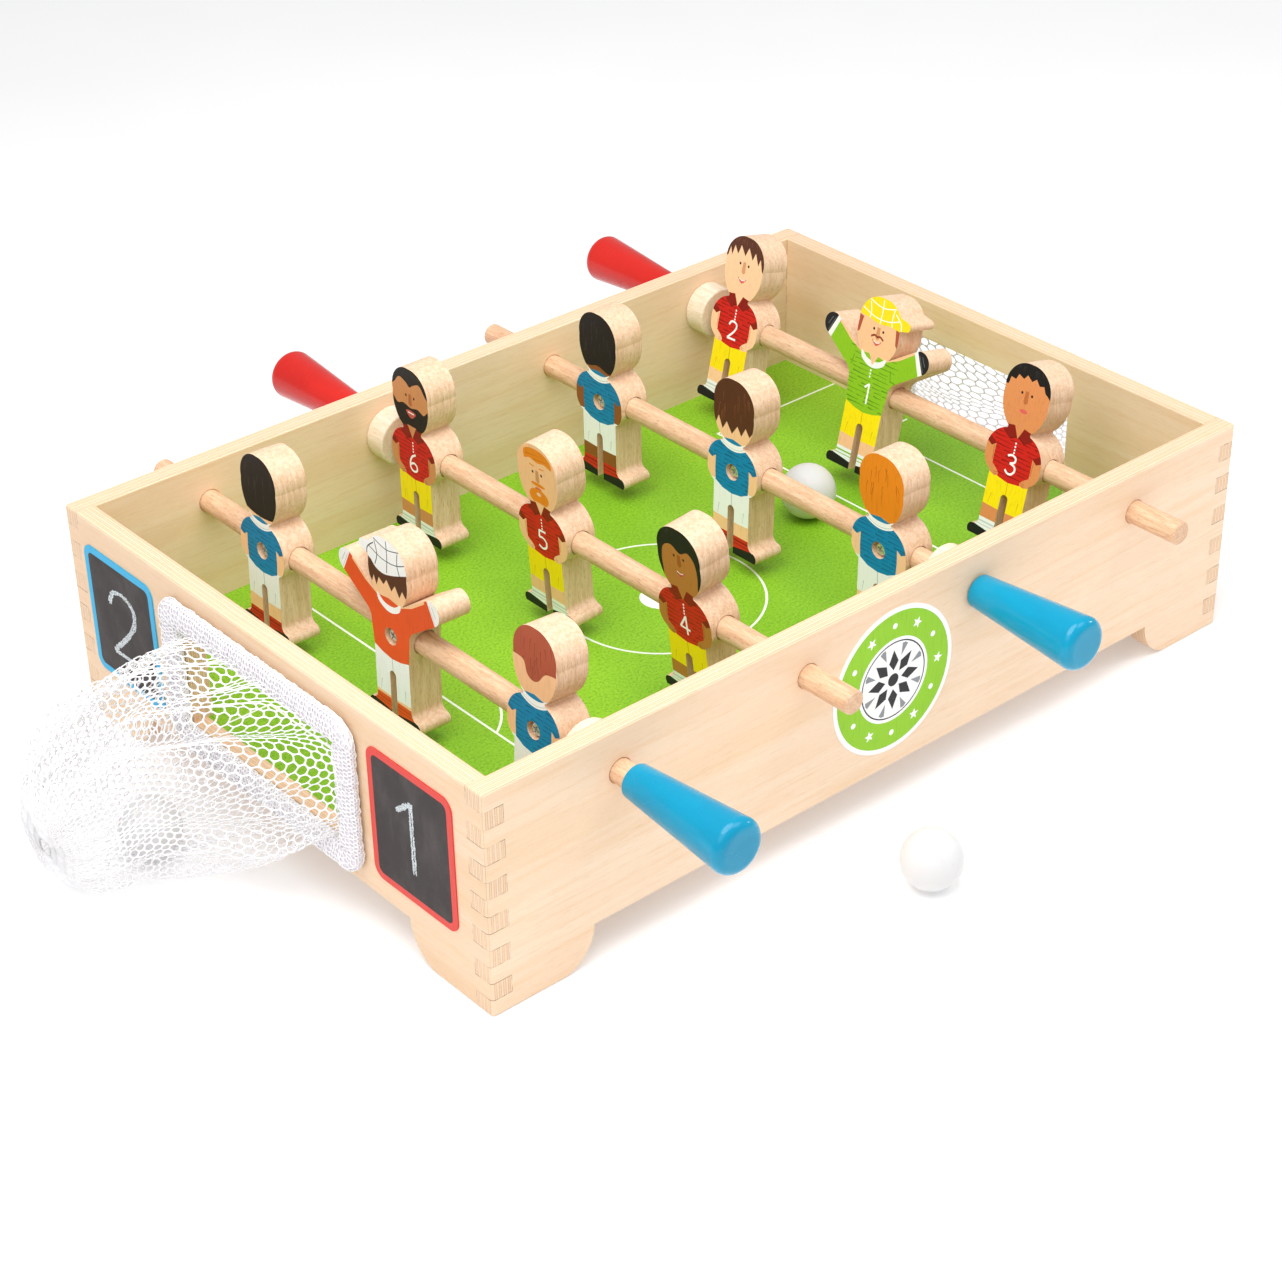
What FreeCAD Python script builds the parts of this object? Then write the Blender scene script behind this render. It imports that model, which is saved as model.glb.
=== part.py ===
import FreeCAD, Part
import math
import os
from FreeCAD import Vector

# Tabletop foosball. Millimetres, +Z up, origin on the floor under the centre of the box.
# +X runs along the pitch, -Y is the long side with the round badge.

# ---- box -------------------------------------------------------------------
LENGTH, WIDTH, HEIGHT = 484.0, 330.0, 118.0
WALL = 11.0
FINGERS = 13                      # finger joint divisions over the height
EDGE_ROUND = 1.2
ARCH_TOP = 21.5                   # underside of the boards between the feet
FOOT_REACH = 58.0                 # from the corner to the start of the arch
FOOT_ROUND = 21.5
BOARD_TOP = 39.7                  # top of the playfield board
BOARD_THICK = 4.7
GROOVE_DEPTH = 3.0
PITCH_TOP = 40.0                  # top of the printed sheet
GOAL_HALF, GOAL_TOP = 64.0, 95.0

# ---- rods, handles and rings -------------------------------------------------
ROD_R, ROD_Z = 6.0, 96.0
ROD_PITCH = 111.3
ROD_LENGTH = 373.0                # from the handle's small end to the free end
SOCKET_DEPTH = 42.0
BORE_R = 6.08                     # wall holes and ring bores
HOLE_CHAMFER = 0.45
HANDLE_LENGTH = 67.5
HANDLE_R0, HANDLE_R1 = 8.5, 13.4
RING_R, RING_THICK, RING_GAP = 14.5, 13.4, 0.2

# rod number: (side of the handle, handle gap at rest, base turn, turn of each figure)
RODS = {
    1: (-1, 9.8, 0.0, (3.5, 1.0, 2.0)),
    2: (+1, 13.0, 0.0, (0.0, -3.5, -6.0)),
    3: (-1, 0.3, 0.0, (1.0, 2.0, 0.0)),
    4: (+1, 13.0, 13.0, (0.0, 0.0, 0.0)),
}
FIGURE_FROM_HANDLE = (58.3, 163.8, 269.3)
KEEPERS = {(1, 1), (4, 1)}

# ---- figures -----------------------------------------------------------------
FIG_THICK = 18.0
FIG_BORE_R = 6.4
HEAD_TOP, HEAD_MID, HEAD_HALF = 51.6, 35.5, 14.7
FIG_BOTTOM = -46.0
LEG_HALF, SLOT_HALF, SLOT_TOP = 13.3, 2.4, -19.0
SCREW_HOLE_R = 4.5
SCREW_HEAD_R, SCREW_SHANK_R = 3.5, 1.5

# ---- loose balls ---------------------------------------------------------------
BALL_R = 15.0
BALLS = {
    "ball_on_pitch": (112.9, 11.0, PITCH_TOP + BALL_R + 0.2),
    "ball_on_floor": (-33.0, -225.0, BALL_R),
    "ball_in_net": (-LENGTH / 2 - 46.5, 33.5, 17.9),
}

# ---- goal nets -------------------------------------------------------------------
BAND_THICK, BAND_HALF, BAND_LOW, BAND_HIGH = 6.0, 77.0, 27.0, 110.0
NET_THICK = 1.2
NET_POINTS = 20
# (distance from the end board, centre y, half width, low z, high z)
NET_RINGS = (
    (6.0, 0.0, 70.0, 34.0, 103.0),
    (20.0, 15.0, 60.0, 14.0, 98.0),
    (40.0, 34.0, 48.0, 1.0, 88.0),
    (60.0, 45.0, 41.0, 1.0, 75.0),
    (78.0, 48.0, 36.0, 1.0, 60.0),
    (90.0, 48.5, 27.0, 4.0, 47.0),
)
STAPLES = ((-55, 101.5), (-20, 101.5), (20, 101.5), (55, 101.5),
           (-55, 34.5), (-20, 34.5), (20, 34.5), (55, 34.5))

# ---- thin printed pieces -----------------------------------------------------------
SLATE_W, SLATE_H, SLATE_ROUND, SLATE_THICK = 61.0, 71.0, 6.5, 0.6
SLATE_LOW = 33.0
SLATE_Y = {"score_slate_red": -WIDTH / 2 + 51.5, "score_slate_blue": WIDTH / 2 - 45.5}
BADGE_R, BADGE_X, BADGE_Z, BADGE_THICK = 39.0, -0.5, 70.0, 0.3

HX, HY = LENGTH / 2, WIDTH / 2
X, Y, Z = Vector(1, 0, 0), Vector(0, 1, 0), Vector(0, 0, 1)


def box(x0, x1, y0, y1, z0, z1):
    return Part.makeBox(x1 - x0, y1 - y0, z1 - z0, Vector(x0, y0, z0))


def chain(points):
    """Closed wire from ('l', p) and ('a', mid, p) steps; the first item is the start point."""
    start = here = points[0]
    edges = []
    for step in points[1:]:
        if step[0] == "l":
            edges.append(Part.LineSegment(here, step[1]).toShape())
        else:
            edges.append(Part.Arc(here, step[1], step[2]).toShape())
        here = step[-1]
    if here.distanceToPoint(start) > 1e-6:
        edges.append(Part.LineSegment(here, start).toShape())
    return Part.Wire(edges)


def yz(y, z, x=0.0):
    return Vector(x, y, z)


# ---- box boards ----------------------------------------------------------------
def envelope():
    """The box walls as one body with every outer and top edge eased."""
    outer = box(-HX, HX, -HY, HY, 0, HEIGHT)
    outer = outer.makeFillet(2.0, [e for e in outer.Edges
                                   if e.BoundBox.ZLength > HEIGHT - 1])
    outer = outer.makeFillet(EDGE_ROUND, [e for e in outer.Edges
                                          if e.BoundBox.ZLength < 0.1])
    walls = outer.cut(box(-HX + WALL, HX - WALL, -HY + WALL, HY - WALL, -5, HEIGHT + 5))
    rim = [e for e in walls.Edges
           if e.BoundBox.ZLength < 0.1 and e.BoundBox.ZMin > HEIGHT - 0.1
           and abs(e.BoundBox.XMin) < HX - WALL + 0.1 and abs(e.BoundBox.XMax) < HX - WALL + 0.1
           and abs(e.BoundBox.YMin) < HY - WALL + 0.1 and abs(e.BoundBox.YMax) < HY - WALL + 0.1]
    return walls.makeFillet(EDGE_ROUND * 0.8, rim)


def arch(half, depth_half, along_x):
    """The space under the boards between two feet."""
    foot = half - FOOT_REACH
    tip = foot + FOOT_ROUND
    c = math.sqrt(0.5) * FOOT_ROUND

    def pt(u, z):
        return Vector(u, -depth_half, z) if along_x else Vector(-depth_half, u, z)

    wire = chain([pt(-tip, -1), ("l", pt(-tip, 0)),
                  ("a", pt(-tip + c, ARCH_TOP - c), pt(-foot, ARCH_TOP)),
                  ("l", pt(foot, ARCH_TOP)),
                  ("a", pt(tip - c, ARCH_TOP - c), pt(tip, 0)),
                  ("l", pt(tip, -1))])
    return Part.Face(wire).extrude((Y if along_x else X) * 2 * depth_half)


def wall_hole(x):
    """Rod hole through both long boards with eased mouths."""
    hole = Part.makeCylinder(BORE_R, WIDTH + 10, Vector(x, -HY - 5, ROD_Z), Y)
    for side in (-1, 1):
        for face, way in ((HY, -1), (HY - WALL, 1)):
            at = Vector(x, side * (face - way * 0.05), ROD_Z)
            r = BORE_R + HOLE_CHAMFER + 0.05
            hole = hole.fuse(Part.makeCone(r, BORE_R - 0.05, r - BORE_R + 0.05, at, Y * side * way))
    return hole


def boards():
    walls = envelope()
    step = HEIGHT / FINGERS
    groove = box(-HX + WALL - GROOVE_DEPTH, HX - WALL + GROOVE_DEPTH,
                 -HY + WALL - GROOVE_DEPTH, HY - WALL + GROOVE_DEPTH,
                 BOARD_TOP - BOARD_THICK, BOARD_TOP)
    # End boards own the even fingers of every corner, the long boards the odd ones.
    even = None
    for k in range(1, FINGERS, 2):
        for sx in (-1, 1):
            for sy in (-1, 1):
                b = Part.makeBox(WALL, WALL, step, Vector(sx * (HX - WALL / 2) - WALL / 2,
                                                          sy * (HY - WALL / 2) - WALL / 2, k * step))
                even = b if even is None else even.fuse(b)
    made = {}
    for name, sy in (("front_long_board", -1), ("back_long_board", 1)):
        y0, y1 = sorted((sy * HY, sy * (HY - WALL)))
        raw = box(-HX, HX, y0, y1, 0, HEIGHT).cut(even)
        b = walls.common(raw).cut(groove).cut(arch(HX, HY + 5, True))
        for x in rod_xs():
            b = b.cut(wall_hole(x))
        made[name] = b
    for name, sx in (("left_end_board", -1), ("right_end_board", 1)):
        x0, x1 = sorted((sx * HX, sx * (HX - WALL)))
        raw = box(x0, x1, -HY + WALL, HY - WALL, 0, HEIGHT).fuse(
            even.common(box(x0, x1, -HY, HY, 0, HEIGHT)))
        b = walls.common(raw).cut(groove).cut(arch(HY, HX + 5, False))
        b = b.cut(box(x0 - 5, x1 + 5, -GOAL_HALF, GOAL_HALF, PITCH_TOP, GOAL_TOP))
        inner = sorted((sx * (HX - WALL - 1), sx * (HX - WALL + GROOVE_DEPTH)))
        b = b.cut(box(inner[0], inner[1], -GOAL_HALF, GOAL_HALF, BOARD_TOP - 1, PITCH_TOP + 1))
        b = b.cut(staples(sx))
        made[name] = b.removeSplitter()
    made["front_long_board"] = made["front_long_board"].removeSplitter()
    made["back_long_board"] = made["back_long_board"].removeSplitter()
    made["playfield_board"] = box(-HX + WALL - GROOVE_DEPTH, HX - WALL + GROOVE_DEPTH,
                                  -HY + WALL - GROOVE_DEPTH, HY - WALL + GROOVE_DEPTH,
                                  BOARD_TOP - BOARD_THICK, BOARD_TOP)
    sheet = box(-HX + WALL, HX - WALL, -HY + WALL, HY - WALL, BOARD_TOP, PITCH_TOP)
    reach = HX - WALL + GROOVE_DEPTH
    made["pitch_sheet"] = sheet.fuse(box(-reach, reach, -GOAL_HALF, GOAL_HALF,
                                         BOARD_TOP, PITCH_TOP)).removeSplitter()
    return made


# ---- goal nets -------------------------------------------------------------------
def staples(side):
    """Wire staples that hold the net band: a crown and two legs each."""
    out = []
    xf = side * (HX + 2.4)
    for y, z in STAPLES:
        crown = sorted((xf, xf - side * 0.6))
        leg = sorted((xf, side * (HX - 5)))
        crown_box = box(crown[0], crown[1], y - 4, y + 4, z - 0.35, z + 0.35)
        legs = [box(leg[0], leg[1], y + s * 3.7 - 0.3, y + s * 3.7 + 0.3, z - 0.35, z + 0.35)
                for s in (-1, 1)]
        out.append(crown_box.fuse(legs).removeSplitter())
    return Part.makeCompound(out)


def net_band(side):
    x0 = side * HX
    outer = rounded_plate(2 * BAND_HALF, BAND_HIGH - BAND_LOW, 7.0, BAND_THICK)
    inner = box(-GOAL_HALF, GOAL_HALF, -1, BAND_THICK + 1, PITCH_TOP, GOAL_TOP)
    outer.translate(Vector(0, 0, BAND_LOW))
    band = outer.cut(inner)
    rim = [e for e in band.Edges if e.BoundBox.YLength < 0.01 and e.BoundBox.YMin > BAND_THICK - 0.01]
    band = band.makeFillet(1.6, rim)
    band.rotate(Vector(0, 0, 0), Z, -90 * side)
    band.translate(Vector(x0, 0, 0))
    return band.cut(staples(side))


def rounded_plate(w, h, r, t):
    """Plate in XZ, centred in X, standing on z = 0, thickness along +Y."""
    p = box(-w / 2, w / 2, 0, t, 0, h)
    return p.makeFillet(r, [e for e in p.Edges if e.BoundBox.YLength > t - 0.01])


def ring_points(ring, inset):
    d, yc, hw, lo, hi = ring
    hw, lo, hi = hw - inset, lo + inset, hi - inset
    pts = []
    for i in range(NET_POINTS):
        a = 2 * math.pi * (i + 0.5) / NET_POINTS
        c, s = math.cos(a), math.sin(a)
        k = (abs(c) ** 3 + abs(s) ** 3) ** (-1 / 3)
        pts.append(Vector(-(HX + d), yc + hw * k * c, (lo + hi) / 2 + (hi - lo) / 2 * k * s))
    return pts


def goal_net(side):
    """Open bag that hangs from the band, lies on the floor and leans to one side."""
    outer = [ring_points(r, 0) for r in NET_RINGS]
    inner = [ring_points(r, NET_THICK) for r in NET_RINGS]
    last = NET_RINGS[-1]
    mid = (last[3] + last[4]) / 2
    tip = Vector(-(HX + last[0] + 5), last[1], mid)
    faces = []

    def tri(a, b, c):
        faces.append(Part.Face(Part.makePolygon([a, b, c, a])))

    def skin(rings, end):
        for low, high in zip(rings, rings[1:]):
            for i in range(NET_POINTS):
                j = (i + 1) % NET_POINTS
                tri(low[i], low[j], high[i])
                tri(low[j], high[j], high[i])
        for i in range(NET_POINTS):
            tri(rings[-1][i], rings[-1][(i + 1) % NET_POINTS], end)

    skin(outer, tip)
    skin(inner, tip + X * NET_THICK)
    for i in range(NET_POINTS):
        j = (i + 1) % NET_POINTS
        tri(outer[0][i], outer[0][j], inner[0][i])
        tri(outer[0][j], inner[0][j], inner[0][i])
    shell = Part.makeShell(faces)
    shell.sewShape()
    bag = Part.makeSolid(shell)
    if bag.Volume < 0:
        bag.reverse()
    if side > 0:
        bag.rotate(Vector(0, 0, 0), Z, 180)
    return bag


# ---- figures -----------------------------------------------------------------------
def head_steps(brim, jaw):
    """From the left jaw over the crown to the right jaw, with an optional cap brim."""
    h = HEAD_HALF
    steps = [("a", yz(-h + 0.9, 26.0), yz(-h, HEAD_MID)),
             ("a", yz(-h * 0.76, 47.4), yz(0, HEAD_TOP))]
    if brim:
        steps += [("a", yz(8.5, 50.0), yz(13.2, 45.6)), ("l", yz(19.6, 44.4)),
                  ("a", yz(21.4, 41.9), yz(19.4, 39.4)), ("l", yz(h, 38.2)),
                  ("l", yz(h, HEAD_MID))]
    else:
        steps += [("a", yz(h * 0.76, 47.4), yz(h, HEAD_MID))]
    return steps + [("a", yz(h - 0.9, 26.0), yz(*jaw))]


def leg_steps():
    """From the right hip round both feet to the left hip, with the slot between the legs."""
    l, b = LEG_HALF, FIG_BOTTOM
    return [("l", yz(l, -36.5)),
            ("a", yz(14.6, -39.6), yz(17.4, -40.6)),
            ("a", yz(19.6, -42.8), yz(18.8, b)),
            ("l", yz(SLOT_HALF, b)), ("l", yz(SLOT_HALF, SLOT_TOP - SLOT_HALF)),
            ("a", yz(0, SLOT_TOP), yz(-SLOT_HALF, SLOT_TOP - SLOT_HALF)),
            ("l", yz(-SLOT_HALF, b)), ("l", yz(-18.8, b)),
            ("a", yz(-19.6, -42.8), yz(-17.4, -40.6)),
            ("a", yz(-14.6, -39.6), yz(-l, -36.5))]


def player_wire():
    arm = [("a", yz(7.5, 16.4), yz(8.6, 15.3)), ("a", yz(16.4, 9.2), yz(18.5, 0.5)),
           ("a", yz(17.2, -6.0), yz(LEG_HALF, -9.4))]
    back = [("l", yz(-LEG_HALF, -9.4)), ("a", yz(-17.2, -6.0), yz(-18.5, 0.5)),
            ("a", yz(-16.4, 9.2), yz(-8.6, 15.3)), ("a", yz(-7.5, 16.4), yz(-8.4, 17.6))]
    return chain([yz(-8.4, 17.6)] + head_steps(False, (8.4, 17.6)) + arm + leg_steps() + back)


def keeper_wire():
    arm = [("l", yz(29.2, 32.2)), ("a", yz(37.6, 30.4), yz(36.4, 22.0)),
           ("l", yz(18.0, 9.6)), ("a", yz(15.2, 6.2), yz(14.6, 2.0)), ("l", yz(LEG_HALF, -9.4))]
    back = [("l", yz(-LEG_HALF, -9.4)), ("l", yz(-14.6, 2.0)), ("a", yz(-15.2, 6.2), yz(-18.0, 9.6)),
            ("l", yz(-36.4, 22.0)), ("a", yz(-37.6, 30.4), yz(-29.2, 32.2)),
            ("l", yz(-10.4, 20.2))]
    return chain([yz(-10.4, 20.2)] + head_steps(True, (10.4, 20.2)) + arm + leg_steps() + back)


def figure(keeper):
    """Sawn figure centred on its bore, screw hole on the -X face."""
    face = Part.Face(keeper_wire() if keeper else player_wire())
    face.translate(X * (-FIG_THICK / 2))
    f = face.extrude(X * FIG_THICK)
    rims = [e for e in f.Edges if e.BoundBox.XLength < 0.01
            and e.BoundBox.YLength + e.BoundBox.ZLength > 3.0]
    try:
        f = f.makeChamfer(0.45, rims)
    except Exception:
        pass
    f = f.cut(Part.makeCylinder(FIG_BORE_R, 100, Vector(0, -50, 0), Y))
    f = f.cut(Part.makeCylinder(SCREW_HOLE_R, FIG_THICK / 2, Vector(-FIG_THICK / 2 - 1, 0, 0), X))
    return f.cut(Part.makeCylinder(SCREW_SHANK_R, 10, Vector(0, 0, 0), X).common(
        box(0, 8.2, -5, 5, -5, 5)))


def screw():
    """Cross-head screw seated on the rod and driven through it into the figure."""
    s = Part.makeCylinder(SCREW_SHANK_R, 13.6, Vector(-5.4, 0, 0), X)
    head = Part.makeCylinder(SCREW_HEAD_R, 2.3, Vector(-7.6, 0, 0), X)
    head = head.makeFillet(1.1, [e for e in head.Edges if e.BoundBox.XLength < 0.01
                                 and e.BoundBox.XMin < -7.5])
    s = s.fuse(head)
    for a in (0, 90):
        c = box(-8, -6.3, -2.1, 2.1, -0.45, 0.45)
        c.rotate(Vector(0, 0, 0), X, a + 20)
        s = s.cut(c)
    return s


# ---- rods, handles and rings -----------------------------------------------------------
def rod_xs():
    return [(-1.5 + k) * ROD_PITCH for k in range(4)]


def handle():
    """Turned handle along +Y from its small end, with the rod's socket."""
    r0, r1, n = HANDLE_R0, HANDLE_R1, HANDLE_LENGTH

    def p(r, y):
        return Vector(r, y, 0)

    wire = chain([p(ROD_R, 0), ("l", p(r0 - 1.2, 0)), ("a", p(r0 - 0.35, 0.35), p(r0, 1.2)),
                  ("l", p(r1, n - 5.5)), ("a", p(r1 - 1.3, n - 1.4), p(r1 - 4.8, n)),
                  ("l", p(0, n)), ("l", p(0, SOCKET_DEPTH)),
                  ("l", p(ROD_R, SOCKET_DEPTH))])
    return Part.Face(wire).revolve(Vector(0, 0, 0), Y, 360)


def ring():
    r = Part.makeCylinder(RING_R, RING_THICK, Vector(0, 0, 0), Y)
    r = r.makeFillet(1.2, [e for e in r.Edges if e.BoundBox.YLength < 0.01])
    return r.cut(Part.makeCylinder(BORE_R, RING_THICK + 2, Vector(0, -1, 0), Y))


def rod_set(n):
    """One rod with all it carries. Local +Y runs from the handle into the box."""
    side, gap, base, turns = RODS[n]
    blue = side < 0
    x = rod_xs()[n - 1]

    def place(s):
        s = s.copy()
        if side > 0:
            s.rotate(Vector(0, 0, 0), Z, 180)
        s.translate(Vector(x, side * (HY + gap), ROD_Z))
        return s

    rod = Part.makeCylinder(ROD_R, ROD_LENGTH + SOCKET_DEPTH, Vector(0, -SOCKET_DEPTH, 0), Y)
    rod = rod.makeChamfer(0.8, [e for e in rod.Edges if e.BoundBox.YLength < 0.01
                                and e.BoundBox.YMin > 0])
    made, screws = {}, []
    for k, at in enumerate(FIGURE_FROM_HANDLE):
        # A turn with heads towards +X is about the world +Y axis.
        turn = (base + turns[k]) * (1 if blue else -1)
        keeper = (n, k) in KEEPERS
        f, s = figure(keeper), screw()
        spot = Part.makeCylinder(SCREW_HEAD_R + 0.2, 3, Vector(-8.3, 0, 0), X)
        hole = Part.makeCylinder(SCREW_SHANK_R, 20, Vector(-10, 0, 0), X)
        for shape in (f, s, spot, hole):
            shape.rotate(Vector(0, 0, 0), Y, turn)
            shape.translate(Y * at)
        rod = rod.cut(spot).cut(hole)
        made["figure_%d%s" % (n, "abc"[k])] = place(f)
        screws.append(place(s))
    made["rod_%d" % n] = place(rod)
    made["handle_%d" % n] = place(handle().mirror(Vector(0, 0, 0), Y))
    made["figure_screws_%d" % n] = Part.makeCompound(screws)
    r = ring()
    y0 = HY - WALL - RING_GAP - RING_THICK
    r.translate(Vector(x, y0 if side > 0 else -y0 - RING_THICK, ROD_Z))
    made["ring_%d" % n] = r
    return made


# ---- thin printed pieces and balls -------------------------------------------------------
def flat_pieces():
    made = {}
    for name, y in SLATE_Y.items():
        s = rounded_plate(SLATE_W, SLATE_H, SLATE_ROUND, SLATE_THICK)
        s.rotate(Vector(0, 0, 0), Z, 90)
        s.translate(Vector(-HX, y, SLATE_LOW))
        made[name] = s
    made["front_badge"] = Part.makeCylinder(
        BADGE_R, BADGE_THICK, Vector(BADGE_X, -HY - BADGE_THICK, BADGE_Z), Y)
    return made


def main():
    os.makedirs("parts", exist_ok=True)
    nodes = boards()
    for side, word in ((-1, "left"), (1, "right")):
        nodes["net_band_" + word] = net_band(side)
        nodes["net_staples_" + word] = staples(side)
        nodes["goal_net_" + word] = goal_net(side)
    nodes.update(flat_pieces())
    for n in RODS:
        nodes.update(rod_set(n))
    for name, at in BALLS.items():
        nodes[name] = Part.makeSphere(BALL_R, Vector(*at))
    total = 0
    for name, shape in sorted(nodes.items()):
        ok = shape.isValid() and shape.Volume > 0
        count = len(shape.tessellate(0.1)[1])
        total += count
        print("%-20s valid=%s solids=%d volume=%.0f triangles=%d"
              % (name, ok, len(shape.Solids), shape.Volume, count))
        shape.exportStep(os.path.join("parts", name + ".step"))
    print("nodes", len(nodes), "triangles", total)


main()
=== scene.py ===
import math
import random

import bpy
import numpy as np
from mathutils import Matrix, Vector
from mathutils.geometry import delaunay_2d_cdt


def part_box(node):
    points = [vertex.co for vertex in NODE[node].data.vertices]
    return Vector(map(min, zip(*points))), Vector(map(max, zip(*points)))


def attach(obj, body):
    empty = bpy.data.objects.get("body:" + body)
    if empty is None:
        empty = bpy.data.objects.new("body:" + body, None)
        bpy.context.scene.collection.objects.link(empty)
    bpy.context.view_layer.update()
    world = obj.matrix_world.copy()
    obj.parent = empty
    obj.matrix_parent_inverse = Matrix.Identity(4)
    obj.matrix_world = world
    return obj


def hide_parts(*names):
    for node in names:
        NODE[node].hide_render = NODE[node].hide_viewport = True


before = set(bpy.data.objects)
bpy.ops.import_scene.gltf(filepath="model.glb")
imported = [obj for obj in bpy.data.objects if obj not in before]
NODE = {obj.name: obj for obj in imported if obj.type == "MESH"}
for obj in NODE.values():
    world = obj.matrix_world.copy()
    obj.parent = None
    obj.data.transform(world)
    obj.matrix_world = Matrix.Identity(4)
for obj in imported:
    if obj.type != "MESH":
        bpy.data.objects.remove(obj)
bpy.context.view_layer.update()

MM = 0.001

# Sizes shared with the CAD model, in millimetres.
HX, HY, HEIGHT, WALL = 242.0, 165.0, 118.0, 11.0
FINGERS, PLIES = 13, 9
ROD_Z, PITCH_TOP, FIG_HALF = 96.0, 40.0, 9.0
ROD_X = (-166.95, -55.65, 55.65, 166.95)
# Each rod's handle side, handle's gap to the wall, turn, and the turns of its figures.
RODS = {1: (-1, 9.8, 0.0, (3.5, 1.0, 2.0)), 2: (1, 13.0, 0.0, (0.0, -3.5, -6.0)),
        3: (-1, 0.3, 0.0, (1.0, 2.0, 0.0)), 4: (1, 13.0, 13.0, (0.0, 0.0, 0.0))}
FROM_HANDLE = (58.3, 163.8, 269.3)
NET_RINGS = ((3.5, 0.0, 69.5, 34.5, 102.5), (20.0, 15.0, 60.0, 14.0, 98.0),
             (40.0, 34.0, 48.0, 1.4, 88.0), (60.0, 45.0, 41.0, 1.4, 75.0),
             (78.0, 48.0, 36.0, 1.4, 60.0), (90.0, 48.5, 27.0, 4.0, 47.0))
# Left net, as (from the end board's outer face, y, z): tip, ball, the ball's way in y, its room.
NET_TIP = (94.0, 47.5, 21.0)
NET_BALL, NET_BALL_WAY, NET_BALL_ROOM = (46.5, 33.5, 17.9), (28.3, 44.7), 15.9
NET_RUN, NET_MID_Z = (0, 24, 49, 75, 96, 112, 128), (68, 58, 44, 38, 31, 25, 21)   # rings and tip
# Cells round and along, and a thread's width and thickness.
NET_CELLS, NET_THREAD, HEM_CELLS, HEM_THREAD = (90, 34), (0.74, 0.65), (190, 16), (0.62, 0.6)
# Creases, mostly from the goal's upper corners: place round it, lean, width, pull or depth.
BUNCHES = ((0.335, 0.15, 0.04, 0.78), (0.66, -0.06, 0.03, 0.65), (0.47, 0.05, 0.03, 0.4),
           (0.56, -0.1, 0.025, 0.35), (0.2, 0.1, 0.03, 0.4))
FOLDS = ((0.335, 0.15, 0.016, 8), (0.372, 0.155, 0.02, -3.5), (0.41, 0.15, 0.02, 4),
         (0.3, 0.145, 0.018, -3), (0.66, -0.06, 0.016, 7), (0.7, -0.05, 0.02, -3),
         (0.625, -0.06, 0.02, -2), (0.47, 0.05, 0.018, 4), (0.56, -0.1, 0.016, 3.5),
         (0.2, 0.1, 0.02, 3))
HEM_HALF, HEM_CORNER, HEM_Z = (69.6, 34.2), 5.0, 68.5

# Camera fitted to the photograph, and the lights, in metres.
CAMERA_AT, CAMERA_AIM = (-0.8018, -0.9328, 0.792), (-0.04512, -0.03587, 0.05)
CAMERA_ROLL, CAMERA_LENS, CAMERA_SENSOR = -0.0189, 79.17, 36.0
LIGHTS = (("key", (0.8, -1.1, 2.0), 1.3, 11), ("fill", (-1.5, -0.6, 1.6), 1.7, 9.5),
          ("top", (-0.28, -0.15, 1.0), 0.9, 9.5), ("spark", (0.95, -0.55, 0.42), 0.16, 0.8))
LIGHT_AIM, SKY, SKY_LEVEL = (0, 0, 0.05), (0.99, 0.995, 1.0, 1), 0.52
FLOOR_HALF = 5000   # millimetres


# ---- colours and nodes ----
def channels(code):
    return [int(code[i:i + 2], 16) for i in (1, 3, 5)]


def hex_of(values):
    return "#%02X%02X%02X" % tuple(int(v) for v in values)


def rgb(code):
    """sRGB hex to linear RGBA."""
    v = [c / 255 for c in channels(code)]
    return tuple(c / 12.92 if c <= 0.04045 else ((c + 0.055) / 1.055) ** 2.4 for c in v) + (1.0,)


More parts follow.
